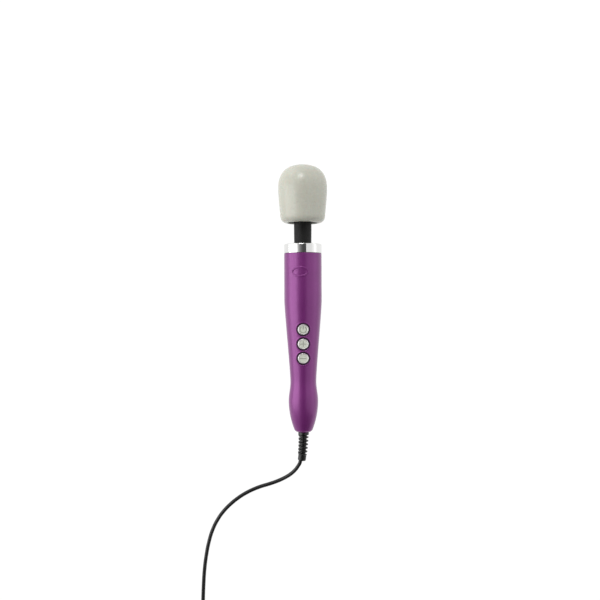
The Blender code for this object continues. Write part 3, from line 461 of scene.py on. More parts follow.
def moulded_plastic(name, base, low=0.35, high=0.5, grain=2400.0, depth=0.00001):
    """Moulded plastic with spark-eroded grain and a little unevenness in gloss and colour."""
    f = Finish(name)
    drift = f.spread(f.noise(45.0, 4.0), 0.3, 0.7)
    f.colour(f.mix(drift, scaled(base, 0.92), scaled(base, 1.08)))
    f.roughness(f.spread(f.noise(140.0, 4.0), 0.3, 0.7, low, high))
    f.bump(f.cells(grain), depth)
    return f.material


def key_silver():
    """Silver-grey satin plastic of the buttons' faces."""
    base = (0.68, 0.71, 0.615)
    f = Finish("key_silver", Metallic=0.15)
    drift = f.spread(f.noise(240.0, 4.0), 0.3, 0.7)
    body = f.mix(drift, scaled(base, 0.95), scaled(base, 1.05))
    fleck = f.spread(f.cells(4200.0, output="Color"), 0.6, 1.0, 0.0, 0.2)
    f.colour(f.mix(fleck, body, scaled(base, 1.25)))
    f.roughness(f.spread(f.noise(300.0, 5.0), 0.3, 0.7, 0.38, 0.48))
    f.bump(f.noise(3000.0, 2.0), 0.000006)
    return f.material


def worn_metal(name, base, low=0.22, high=0.4):
    """Machined or pressed metal: directional marks, dull patches and brighter edges."""
    f = Finish(name, Metallic=1.0)
    patch = f.spread(f.noise(180.0, 6.0, 0.65), 0.35, 0.7)
    body = f.mix(patch, scaled(base, 0.88), base)
    f.colour(f.mix(f.times(f.edges(), 0.6), body, scaled(base, 1.25)))
    f.roughness(f.spread(f.noise(220.0, 5.0), 0.3, 0.7, low, high))
    f.bump(f.noise(1.0, 3.0, stretch=(60.0, 2400.0, 60.0)), 0.000005)
    return f.material


def laminate():
    """Green circuit board: glass weave under solder resist, with paler conductor tracks."""
    base = (0.02, 0.15, 0.055)
    f = Finish("green_laminate")
    weave = f.spread(f.cells(1500.0), 0.1, 0.5)
    body = f.mix(weave, scaled(base, 0.9), scaled(base, 1.15))
    track = f.spread(f.cells(260.0, "DISTANCE_TO_EDGE"), 0.02, 0.05, 0.5, 0.0)
    f.colour(f.mix(track, body, (0.06, 0.3, 0.12)))
    f.roughness(f.spread(f.noise(400.0), 0.3, 0.7, 0.3, 0.45))
    f.bump(track, 0.00003)
    return f.material


def iron_sheets():
    """The rotor's pressed iron sheets, seen as fine lines round its axis."""
    base = (0.23, 0.225, 0.22)
    f = Finish("rotor_iron", Metallic=0.9)
    patch = f.spread(f.noise(300.0, 5.0), 0.35, 0.7)
    f.colour(f.mix(patch, scaled(base, 0.8), scaled(base, 1.1)))
    f.roughness(f.spread(f.noise(500.0), 0.3, 0.7, 0.38, 0.55))
    f.bump(f.noise(1.0, 1.0, stretch=(5.0, 1800.0, 5.0)), 0.00004)
    return f.material


FINISHES = {
    "purple": purple_lacquer(),
    "collar": polished_metal(),
    "head": head_rubber(),
    "sleeve": black_rubber("neck_rubber", (0.008, 0.008, 0.0078), 0.46, 0.6, 2200.0, 0.18),
    "rubber": black_rubber("black_rubber", (0.004, 0.004, 0.004), 0.24, 0.36, 1800.0, 0.5),
    "sheath": black_rubber("lead_sheath", (0.006, 0.006, 0.006), 0.3, 0.42, 2600.0, 0.4),
    "plastic": moulded_plastic("black_plastic", (0.014, 0.014, 0.015)),
    "plate": moulded_plastic("matt_black_plastic", (0.008, 0.008, 0.008), 0.8, 0.95),
    # The groove seal's dark purple is painted shade: a real seal, coloured as the shade in the gap round
    # each button.
    "groove": moulded_plastic("groove_seal_painted_shade", (0.03, 0.008, 0.03), 0.5, 0.65),
    "key": key_silver(),
    "rim": polished_metal("key_rim", (0.88, 0.85, 0.86), 0.34, 0.46),
    "print": moulded_plastic("key_print", (0.33, 0.35, 0.3), 0.45, 0.6),
    "steel": worn_metal("bright_steel", (0.56, 0.56, 0.57)),
    "copper": worn_metal("copper", (0.72, 0.36, 0.19)),
    "brass": worn_metal("plated_brass", (0.74, 0.68, 0.53), 0.16, 0.3),
    "iron": iron_sheets(),
    "magnet": moulded_plastic("ferrite", (0.06, 0.06, 0.065), 0.6, 0.8, 900.0, 0.00003),
    "board": laminate(),
    "white": moulded_plastic("white_nylon", (0.7, 0.69, 0.65), 0.4, 0.55),
    "carbon": moulded_plastic("carbon", (0.03, 0.03, 0.032), 0.65, 0.85, 1500.0, 0.00003),
    "brown": moulded_plastic("brown_insulation", (0.17, 0.07, 0.03), 0.4, 0.5),
    "blue": moulded_plastic("blue_insulation", (0.03, 0.09, 0.36), 0.4, 0.5),
}


# ---- handle casing ----

SIDE_VIEW = [TAIL_SPAN[0]] + bezier(TAIL_SPAN, 60) + bezier(WAIST_SPAN, 60) + bezier(GRIP_SPAN, 160)


def handle_radius(station):
    """The handle's outer radius at a station, without the raised rims round its buttons."""
    low, high = 0, len(SIDE_VIEW) - 1
    if station >= SIDE_VIEW[high][0]:
        return GRIP_RADIUS
    if station <= SIDE_VIEW[0][0]:
        return SIDE_VIEW[0][1]
    while high - low > 1:
        middle = (low + high) // 2
        if SIDE_VIEW[middle][0] <= station:
            low = middle
        else:
            high = middle
    (s0, r0), (s1, r1) = SIDE_VIEW[low], SIDE_VIEW[high]
    return r0 + (r1 - r0) * (station - s0) / (s1 - s0)


CROWN_RADIUS = handle_radius(KEY_STATION)


def key_matrix(i):
    """Where button number i stands on the handle: Z along its travel."""
    along = (i - 1) * KEY_PITCH
    lean = Matrix.Rotation(KEY_SLOPE, 4, "X")
    return Matrix.Translation((0.0, KEY_STATION, CROWN_RADIUS)) @ lean @ Matrix.Translation((0, along, 0))


KEY_PLACES = [key_matrix(i) for i in range(len(KEY_NAMES))]
KEY_LOOKS = [place.inverted() for place in KEY_PLACES]

RIM_HEIGHT = 0.00028
RIM_INNER = KEY_HOLE_RADIUS + 0.0005
RIM_OUTER = KEY_HOLE_RADIUS + 0.0018
LIP_DROP = 0.0005
SEAM_ROUND = 0.00035
KEYS_START, KEYS_END = 0.082, 0.1422


def rim_lift(point):
    """How far the casing's surface stands up, or rolls down, round the button holes."""
    if point.z < 0.0:
        return 0.0
    best, nearest = 0.0, 1.0
    for look in KEY_LOOKS:
        seen = look @ point
        away = math.hypot(seen.x, seen.y)
        nearest = min(nearest, away)
        best = max(best, RIM_HEIGHT * (1.0 - smoothstep(RIM_INNER, RIM_OUTER, away)))
    roll = LIP_DROP * (1.0 - smoothstep(KEY_HOLE_RADIUS - 0.0001, RIM_INNER, nearest)) ** 2
    return best - roll


def casing_point(station, angle):
    """A point on the casing's outer surface."""
    radius = handle_radius(station)
    point = Vector((radius * math.cos(angle), station, radius * math.sin(angle)))
    if KEYS_START < station < KEYS_END:
        radius += rim_lift(point)
    gap = abs(point.z)
    if gap < SEAM_ROUND:
        radius -= SEAM_ROUND * 0.5 * (1.0 - gap / SEAM_ROUND) ** 2
    return Vector((radius * math.cos(angle), station, radius * math.sin(angle)))


def casing_normal(station, angle):
    """The outward direction of the casing's surface, from small steps along it."""
    ds, da = 0.00006, 0.0025
    along = casing_point(station + ds, angle) - casing_point(station - ds, angle)
    around = casing_point(station, angle + da) - casing_point(station, angle - da)
    return around.cross(along).normalized() * -1.0


def spaced(start, end, step):
    count = max(1, round((end - start) / step))
    return [start + (end - start) * i / count for i in range(count)]


def turned_points(outline, angle):
    """An outline of (station, radius) at an angle about the wand's axis."""
    return [Vector((r * math.cos(angle), s, r * math.sin(angle))) for s, r in outline]


TAIL_OUTLINE = [(0.0, INLET_RADIUS), (0.0, 0.0079), (0.00006, 0.00845), (0.00024, 0.00905)]
TAIL_OUTLINE += [(0.00055, 0.00966), (0.00095, 0.0102), (0.00145, 0.01072), (0.0019, 0.0111)]
TOP_OUTLINE = [
    (SHELL_TOP - 0.0001, GRIP_RADIUS - 0.0001), (SHELL_TOP, GRIP_RADIUS - 0.0004),
    (SHELL_TOP, SPIGOT_RADIUS), (SPIGOT_TOP - 0.0004, SPIGOT_RADIUS),
    (SPIGOT_TOP, SPIGOT_RADIUS - 0.0004), (SPIGOT_TOP, SPIGOT_RADIUS - WALL),
    (SHELL_TOP - WALL, SPIGOT_RADIUS - WALL), (SHELL_TOP - 2 * WALL, GRIP_RADIUS - WALL),
]


def casing_half(name, front):
    """Half of the casing: its outer surface with a rounded seam edge, its spigot and its inner wall."""
    last = SHELL_TOP - 0.0005
    stations = spaced(TAIL_SPAN[0][0], KEYS_START, 0.0018)
    stations += spaced(KEYS_START, KEYS_END, 0.00036 if front else 0.0022)
    stations += spaced(KEYS_END, last, 0.0022) + [last]
    middle = math.radians(52)
    edge = [0.0, 0.005, 0.012, 0.022] + spaced(0.045, middle, math.radians(4))
    angles = edge + spaced(middle, math.pi - middle, math.radians(1.05 if front else 4))
    angles += [math.pi - a for a in reversed(edge + [middle])]
    turn = 0.0 if front else math.pi
    inside = [(s, handle_radius(s) - WALL) for s in reversed(spaced(0.007, 0.222, 0.008))]
    inside += [(0.003, 0.0088), (0.003, INLET_RADIUS)]
    rows = []
    for a in (angle + turn for angle in angles):
        outside = [casing_point(s, a) for s in stations]
        rows.append(turned_points(TAIL_OUTLINE, a) + outside + turned_points(TOP_OUTLINE + inside, a))
    bm = bmesh.new()
    made = grid_mesh(bm, rows)
    bm.faces.new(made[0])
    bm.faces.new(made[-1])
    return mesh_object(name, bm, 35.0)


def casing_normals(obj):
    """Give the outer surface the true curve's normals, so cuts in it don't disturb its shading."""
    mesh = obj.data
    normals = [(0.0, 0.0, 0.0)] * len(mesh.loops)
    cache = {}
    for face in mesh.polygons:
        on_surface = True
        for v in face.vertices:
            if v not in cache:
                co = mesh.vertices[v].co
                angle = math.atan2(co.z, co.x)
                if TAIL_SPAN[0][0] - 0.0001 < co.y < SHELL_TOP - 0.00045:
                    gap = (casing_point(co.y, angle) - co).length
                    cache[v] = casing_normal(co.y, angle) if gap < 0.00006 else None
                else:
                    cache[v] = None
            if cache[v] is None:
                on_surface = False
                break
        if on_surface and face.normal.dot(cache[face.vertices[0]]) > 0.5:
            for loop in face.loop_indices:
                normals[loop] = cache[mesh.loops[loop].vertex_index]
    mesh.normals_split_custom_set(normals)


RUBBED_PER_BEND = 0.00021


def mark_edges(obj):
    """Write how sharply the surface bulges at each point, so that finishes can show rubbed edges."""
    bm = bmesh.new()
    bm.from_mesh(obj.data)
    bm.normal_update()
    values = []
    for vert in bm.verts:
        bend, length = 0.0, 1e-9
        for e in vert.link_edges:
            if len(e.link_faces) == 2:
                bend += e.calc_face_angle_signed(0.0)
                length += min(max(e.calc_length(), 1e-6), 0.002)
        values.append(min(1.0, max(0.0, bend / length * RUBBED_PER_BEND)))
    bm.free()
    layer = obj.data.attributes.new("edge", "FLOAT", "POINT")
    layer.data.foreach_set("value", values)


def upright(radius, low, high, place, steps=96):
    """A round cutter about a button's or screw's own axis."""
    tool = lathe_up("tool", [(low, 0.0), (low, radius), (high, radius), (high, 0.0)], steps)
    tool.data.transform(place)
    return tool


def make_casing():
    """Both halves of the casing, with button holes in front and sunk screw holes behind."""
    front = casing_half("casing_front", True)
    for place in KEY_PLACES:
        combine(front, upright(KEY_HOLE_RADIUS, -0.0085, 0.006, place), "DIFFERENCE")
    casing_normals(front)
    settle(front, WAND, FINISHES["purple"], "handle", "purple_lacquer", "handle_shell_front")
    rear = casing_half("casing_rear", False)
    for station in SCREW_STATIONS.values():
        bottom = -handle_radius(station)
        place = Matrix.Translation((0.0, station, 0.0))
        boss = upright(0.0042, bottom + 0.001, -0.0006, place, 40)
        combine(rear, boss, "UNION")
        outline = rounded([
            (bottom - 0.002, 0.0, 0.0), (bottom - 0.002, 0.0052, 0.0),
            (bottom + 0.0005, 0.003, 0.0004), (bottom + 0.0045, 0.003, 0.0),
            (bottom + 0.0045, 0.0016, 0.0), (0.001, 0.0016, 0.0), (0.001, 0.0, 0.0),
        ])
        tool = lathe_up("tool", outline, 64)
        tool.data.transform(place)
        combine(rear, tool, "DIFFERENCE")
    casing_normals(rear)
    settle(rear, WAND, FINISHES["purple"], "handle", "purple_lacquer", "handle_shell_rear")
    mark_edges(front)
    mark_edges(rear)


def make_emblem():
    """A plain oval ridge pressed into the casing below the collar."""
    station, aside, half_long, half_tall = 0.203, -0.0034, 0.0092, 0.0056
    path = []
    count = 96
    for i in range(count):
        t = 2 * math.pi * i / count
        x = aside + half_long * math.cos(t)
        z = math.sqrt(GRIP_RADIUS**2 - x * x)
        path.append(Vector((x, station + half_tall * math.sin(t), z)))
    around = [2 * math.pi * k / 14 for k in range(14)]
    section = [(0.0013 * math.cos(a), 0.00034 * math.sin(a)) for a in around]
    ridge = sweep("emblem_ridge", path, section, closed=True)
    mark_edges(ridge)
    settle(ridge, WAND, FINISHES["purple"], "handle", "purple_lacquer")


def make_collar():
    """The polished collar: a plain skirt, a rounded shoulder, and a hole for the neck."""
    outline = rounded([
        (SHELL_TOP + 0.0003, 0.0212, 0.0), (SHELL_TOP + 0.0003, COLLAR_RADIUS, 0.0002),
        (0.2389, COLLAR_RADIUS, 0.0018), (COLLAR_TOP, 0.019, 0.002),
        (COLLAR_TOP, 0.0116, 0.0007), (0.2374, 0.0116, 0.0), (0.2372, 0.0205, 0.0004),
        (0.2368, 0.0212, 0.0),
    ], 9)
    ring = lathe("collar_trim", outline, 160)
    settle(ring, WAND, FINISHES["collar"], "handle", "polished_collar", "collar_ring")


def screw(name, station):
    """A casing screw with a domed head and a cross recess."""
    bottom = -handle_radius(station)
    seat = bottom + 0.0042
    head = seat - 0.0022
    outline = rounded([
        (head, 0.0, 0.0), (head, 0.0027, 0.0009), (seat, 0.0027, 0.0002), (seat, 0.0013, 0.0),
        (0.0085, 0.0013, 0.0), (0.0092, 0.0, 0.0),
    ])
    body = lathe_up(name, outline, 40)
    for turn in (0.0, math.pi / 2):
        slot = prism("slot", oblong(0.0016, 0.0003), head - 0.0004, head + 0.0009)
        slot.data.transform(Matrix.Rotation(turn, 4, "Z"))
        combine(body, slot, "DIFFERENCE")
    body.data.transform(Matrix.Translation((0.0, station, 0.0)))
    mark_edges(body)
    settle(body, WAND, FINISHES["steel"], "handle", "bright_steel", name.replace("_head", ""))


# ---- buttons ----

CAP_TOP = -0.0005
CAP_RADIUS = 0.0057
GROOVE_GAP = 0.00025
SIGN_HEIGHT = 0.00006
LINE = 0.0012
THIN = 0.0009


def bar(length, width, centre=(0.0, 0.0), turn=0.0):
    """A flat bar with round ends, for a button's sign."""
    half, r = length / 2 - width / 2, width / 2
    points = []
    for end, start in ((1, -90), (-1, 90)):
        for k in range(9):
            a = math.radians(start + 180 * k / 8)
            points.append((end * half + r * math.cos(a), r * math.sin(a)))
    piece = prism("bar", points, 0.0, SIGN_HEIGHT, 0.00002, 1)
    piece.data.transform(Matrix.Translation((*centre, 0.0)) @ Matrix.Rotation(turn, 4, "Z"))
    return piece


def open_ring(radius, width, gap):
    """A flat ring, open at the top."""
    count = 56
    start, end = math.pi / 2 + gap, 2.5 * math.pi - gap
    angles = [start + (end - start) * i / count for i in range(count + 1)]
    radii = (radius + width / 2, radius - width / 2)
    outer, inner = ([(r * math.cos(a), r * math.sin(a)) for a in angles] for r in radii)
    return prism("ring", outer + inner[::-1], 0.0, SIGN_HEIGHT, 0.00002, 1)


def key_sign(kind):
    """The general sign on a button: power, plus or minus."""
    upright_turn = math.pi / 2
    if kind == "power":
        parts = [open_ring(0.00405, LINE, math.radians(33)), bar(0.005, LINE, (0.0, 0.0026), upright_turn)]
    elif kind == "plus":
        parts = [bar(0.008, THIN)]
        parts += [bar(0.0035, THIN, (0.0, y), upright_turn) for y in (0.0022, -0.0022)]
    else:
        parts = [bar(0.008, THIN * 1.2)]
    return join(parts, f"key_sign_{kind}")


def make_key(kind, place):
    """A button: a dished cap, a bright rounded rim, its sign, and the seal ring in the groove, coloured
    dark purple as painted shade of the gap.
    """
    body = f"{kind}_key"
    cap_outline = [
        (CAP_TOP - 0.00016, 0.0), (CAP_TOP - 0.00013, 0.0028), (CAP_TOP - 0.00004, 0.0048),
        (CAP_TOP, 0.0055), (-0.0008, CAP_RADIUS), (-0.0054, CAP_RADIUS), (-0.0054, 0.0021),
        (-0.0064, 0.0018), (-0.0064, 0.0),
    ]
    cap = lathe_up(f"key_cap_{kind}", cap_outline, 72)
    settle(cap, WAND @ place, FINISHES["key"], body, "silver_key", f"button_{kind}")
    rim_outline = rounded([
        (CAP_TOP - 0.0003, 0.0055, 0.0), (CAP_TOP + 0.0004, 0.0056, 0.0004),
        (CAP_TOP + 0.0004, KEY_RADIUS - 0.0006, 0.0004), (-0.0009, KEY_RADIUS, 0.0005),
        (-0.0055, KEY_RADIUS, 0.0), (-0.0055, 0.0084, 0.0), (-0.0062, 0.0084, 0.0),
        (-0.0062, 0.0058, 0.0),
    ], 6)
    rim = lathe_up(f"key_rim_{kind}", rim_outline, 96, 50.0)
    settle(rim, WAND @ place, FINISHES["rim"], body, "silver_key")
    sign = key_sign(kind)
    sign.data.transform(Matrix.Translation((0.0, 0.0, CAP_TOP - 0.0001)))
    settle(sign, WAND @ place, FINISHES["print"], body, "silver_key")
    # The seal at the groove's bottom; its dark purple colour is painted shade of the gap round the button.
    ring_outline = rounded([
        (-0.0016, KEY_RADIUS + GROOVE_GAP, 0.0002), (-0.0016, KEY_HOLE_RADIUS - 0.0001, 0.0002),
        (-0.0036, KEY_HOLE_RADIUS - 0.0001, 0.0), (-0.0036, KEY_RADIUS + GROOVE_GAP, 0.0),
    ], 4)
    ring = lathe_up(f"groove_ring_{kind}", ring_outline, 72)
    settle(ring, WAND @ place, FINISHES["groove"], "handle", "black_rubber", f"button_seal_{kind}")


# ---- neck and head ----


def make_neck():
    """The rubber sleeve of the neck, a little narrower at its foot."""
    outline = rounded([
        (0.2278, 0.0082, 0.0), (0.2278, 0.0144, 0.0005), (0.2308, 0.0144, 0.0005),
        (0.232, 0.0111, 0.0008), (0.239, 0.0109, 0.003), (0.2415, 0.011, 0.0012),
        (0.256, NECK_RADIUS, 0.004), (0.2724, NECK_RADIUS, 0.0004), (0.2731, 0.0132, 0.0004),
        (0.2756, 0.0132, 0.0004), (0.2756, 0.0082, 0.0),
    ], 6)
    sleeve = lathe("neck_cover", outline, 128)
    mark_edges(sleeve)
    settle(sleeve, WAND, FINISHES["sleeve"], "neck", "black_rubber", "neck_sleeve")


def make_head():
    """The soft cap of the head with its rolled rim, and the dark plate in its recess."""
    outer = [CROWN_SPAN[0]] + bezier(CROWN_SPAN, 30) + bezier(SIDE_SPAN, 14) + bezier(RIM_SPAN, 18)
    rim = [(0.26583, 0.0197), (0.26605, 0.01944), (0.2664, 0.01928), (0.2689, 0.0193), (0.2701, 0.0221)]
    inner = [(0.274, 0.025), (0.285, 0.0264), (0.31, 0.028), (0.324, 0.0262), (0.333, 0.019)]
    inner += [(0.3366, 0.008), (0.3368, 0.0)]
    cap = lathe("head_cap", outer + rim + inner, 144, 60.0)
    settle(cap, WAND, FINISHES["head"], "head", "head_rubber", "head_cover")
    plate_outline = rounded([
        (0.2676, 0.0117, 0.0004), (0.2676, 0.0182, 0.0004), (0.2684, 0.0188, 0.0003),
        (0.2696, 0.0188, 0.0), (0.2696, 0.017, 0.0), (0.2861, 0.017, 0.0), (0.2861, 0.0083, 0.0),
        (0.2811, 0.0083, 0.0), (0.2811, 0.005, 0.0), (0.2799, 0.005, 0.0), (0.2799, 0.0152, 0.0),
        (0.2694, 0.0152, 0.0), (0.2694, 0.0117, 0.0),
    ], 4)
    plate = lathe("head_plate", plate_outline, 96)
    mark_edges(plate)
    settle(plate, WAND, FINISHES["plate"], "head", "black_plastic", "head_base")


# ---- strain relief ----

MOUTH_RADIUS = 0.004
BOOT_COLLAR = 0.0072
BOOT_COLLAR_RADIUS = 0.0052
FLANGE_RADIUS = 0.0068
GUIDE_RADIUS = 0.0049
STOP_RADIUS = 0.0069


def boot_centre(station):
    """The strain relief's centre line, which bends to one side and droops outside the handle."""
    reach = max(0.0, -station / BOOT_LENGTH)
    return Vector((BOOT_BEND_SIDE * reach**2, station, BOOT_BEND_DOWN * reach**2))


def boot_radius(station, angle):
    """The strain relief's outline: a flange, a winding rib, and a plain end collar."""
    ribs_start, ribs_end = -0.0046, -BOOT_LENGTH + BOOT_COLLAR
    share = min(1.0, max(0.0, (ribs_start - station) / (ribs_start - ribs_end)))
    wave = math.cos(2 * math.pi * (station - RIB_START) / RIB_PITCH - angle)
    crest = smoothstep(-0.75, 0.55, wave)
    valley = 0.0042 - 0.0002 * share
    peak = 0.0065 - 0.0006 * share
    ribbed = valley + (peak - valley) * crest
    into_flange = smoothstep(-0.0049, -0.0037, station)
    into_collar = 1.0 - smoothstep(ribs_end - 0.0004, ribs_end + 0.0006, station)
    radius = ribbed + (FLANGE_RADIUS - ribbed) * into_flange
    return radius + (BOOT_COLLAR_RADIUS - radius) * into_collar


def ring_round(station, radius_at, steps):
    """A ring of points about the strain relief's bent centre line."""
    centre = boot_centre(station)
    ahead = boot_centre(station + 0.0004) - boot_centre(station - 0.0004)
    side = Vector((1.0, 0.0, 0.0)) - ahead * (ahead.x / ahead.length_squared)
    side.normalize()
    up = side.cross(ahead).normalized()
    ring = []
    for i in range(steps):
        angle = 2 * math.pi * i / steps
        r = radius_at(angle)
        ring.append(centre + r * (math.cos(angle) * side + math.sin(angle) * up))
    return ring


def make_boot():
    """The moulded strain relief, with an open mouth that the lead comes out of."""
    steps = 56
    end = -BOOT_LENGTH
    depth = 0.006
    mouth = (
        (depth, MOUTH_RADIUS - 0.0006), (0.001, MOUTH_RADIUS - 0.0001),
        (0.0003, MOUTH_RADIUS + 0.0001), (0.0, MOUTH_RADIUS + 0.0003), (0.0, 0.0047),
        (0.00012, 0.005), (0.0004, 0.00516),
    )
    flange = ((-0.0007, FLANGE_RADIUS), (-0.0004, 0.0066), (-0.0003, 0.0062), (-0.0003, GUIDE_RADIUS))
    stop = ((0.0033, GUIDE_RADIUS), (0.0033, STOP_RADIUS), (0.0052, STOP_RADIUS), (0.0058, 0.006))
    core = ((0.0058, CORD_RADIUS), (0.024, CORD_RADIUS))

    def plain(station, radius):
        return ring_round(station, lambda a: radius, steps)

    rows = [[boot_centre(end + depth)]] + [plain(end + offset, radius) for offset, radius in mouth]
    station = end + 0.0009
    while station < -0.0011:
        rows.append(ring_round(station, lambda a, s=station: boot_radius(s, a), steps))
        station += 0.00022
    rows += [plain(s, radius) for s, radius in flange + stop + core]
    rows.append([Vector((0.0, 0.024, 0.0))])
    bm = bmesh.new()
    grid_mesh(bm, rows)
    boot = mesh_object("strain_relief", bm, 50.0)
    mark_edges(boot)
    settle(boot, WAND, FINISHES["rubber"], "handle", "black_rubber", "cord_boot")


# ---- mains lead ----

LAYER = 2 * CORD_RADIUS
INNER_TURN = COIL_RADIUS - (COIL_ACROSS - 1) * CORD_RADIUS
OUTER_TURN = COIL_RADIUS + (COIL_ACROSS - 1) * CORD_RADIUS
BOTTOM_TURNS = COIL_ACROSS
TOP_TURNS = 3


def coil_radius_and_height(turns):
    """The winding's radius and height after so many turns: inwards on the floor, then outwards on top."""
    whole, part = int(turns), (turns % 1.0) * 360.0
    if turns < BOTTOM_TURNS:
        steps_in = min(whole, COIL_ACROSS - 1)
        if whole < COIL_ACROSS - 1:
            steps_in += smoothstep(270.0, 360.0, part)
        radius = OUTER_TURN - LAYER * steps_in
        climb = smoothstep(230.0, 335.0, part) if whole == BOTTOM_TURNS - 1 else 0.0
        return radius, CORD_RADIUS + LAYER * climb
    steps_out = whole - BOTTOM_TURNS + smoothstep(105.0, 215.0, part)
    return INNER_TURN + LAYER * min(steps_out, TOP_TURNS), CORD_RADIUS + LAYER


def coil_points():
    """The coiled length of the lead, a little uneven as a hand winds it."""
    per_turn = 18
    total = BOTTOM_TURNS + TOP_TURNS + 0.25
    count = round(total * per_turn)
    points = []
    for i in range(1, count + 1):
        turns = total * i / count
        radius, height = coil_radius_and_height(turns)
        angle = math.pi + 2 * math.pi * turns
        x, y = COIL_CENTRE[0] + radius * math.cos(angle), COIL_CENTRE[1] + radius * math.sin(angle)
        points.append((x, y, height))
    return points


def lead_points():
    """The whole lead: out of the strain relief, over the floor, round its coil and into the plug."""
    start = WAND @ (boot_centre(-BOOT_LENGTH + 0.005) + Vector((-0.0009, 0.0, 0.0)))
    points = [tuple(start)] + list(LEAD_ROUTE)
    points += [(COIL_CENTRE[0] - OUTER_TURN, COIL_CENTRE[1] + 0.009, CORD_RADIUS)]
    points += coil_points()
    middle = PLUG_THICKNESS / 2
    run_in = ((-0.0815, 0.0071), (-0.07, 0.007), (-0.06, 0.0069), (-0.052, middle), (-0.048, middle))
    return points + [(x, PLUG_Y, z) for x, z in run_in]


def make_lead():
    """The lead as one smooth curve of its real length."""
    curve = bpy.data.curves.new("mains_lead", "CURVE")
    curve.dimensions = "3D"
    curve.bevel_depth = CORD_RADIUS
    curve.bevel_resolution = 6
    curve.resolution_u = 6
    curve.use_fill_caps = True
    points = lead_points()
    spline = curve.splines.new("BEZIER")
    spline.bezier_points.add(len(points) - 1)
    for knot, point in zip(spline.bezier_points, points):
        knot.co = point
        knot.handle_left_type = "AUTO"
        knot.handle_right_type = "AUTO"
    obj = add_object("mains_lead", curve)
    nodes = ("cord_tube", "cord_coil", "cord_tail")
    return settle(obj, Matrix.Identity(4), FINISHES["sheath"], "handle", "lead_sheath", *nodes)


def make_tie():
    """A rubber strap round the coil's turns, with its end through a keeper."""
    width = 0.0035
    half = COIL_ACROSS * CORD_RADIUS + 0.0004
    top = 4 * CORD_RADIUS + 0.0003
    corners = [(-half, 0.0002), (half, 0.0002), (half, top), (-half, top)]
    line = rounded([(x, z, 0.003) for x, z in corners], 8)
    path = [Vector((x, 0.0, z + 0.0004)) for x, z in line]
    inner, outer = (-0.0002, 0.0002), (0.0009, 0.0003)
    sides = ((inner, -width), (outer, -width), (outer, width), (inner, width))
    section = rounded([(a, b, radius) for (a, radius), b in sides], 3)
    strap = sweep("strap", path, section, closed=True, up=Vector((0.0, 1.0, 0.0)))
    keeper = prism("keeper", rounded(oblong(0.003, 0.0043, 0.0008)), top + 0.0006, top + 0.0024, 0.0005, 3)
    tie = join([strap, keeper], "cable_tie")
    turn = Matrix.Rotation(math.radians(62), 4, "Z")
    place = Matrix.Translation((*COIL_CENTRE, 0.0)) @ turn @ Matrix.Translation((COIL_RADIUS, 0.0, 0.0))
    mark_edges(tie)
    return settle(tie, place, FINISHES["rubber"], "handle", "black_plastic", "cord_tie")


def relief_outline():
    """The plug's strain relief: a taper with ring grooves, as (distance from the plug, radius)."""
    length, root_radius, count = 0.024, 0.0055, 120
    outline = [(-0.002, 0.0), (-0.002, root_radius)]
    for i in range(1, count + 1):
        s = length * i / count
        ringed = 0.003 < s < 0.0215
        groove = 0.0006 * smoothstep(0.2, 0.8, math.cos(2 * math.pi * s / 0.0036)) if ringed else 0.0
        outline.append((s, root_radius - 0.0019 * s / length - groove))
    return outline + [(length + 0.0003, 0.0034), (length + 0.0003, 0.0)]


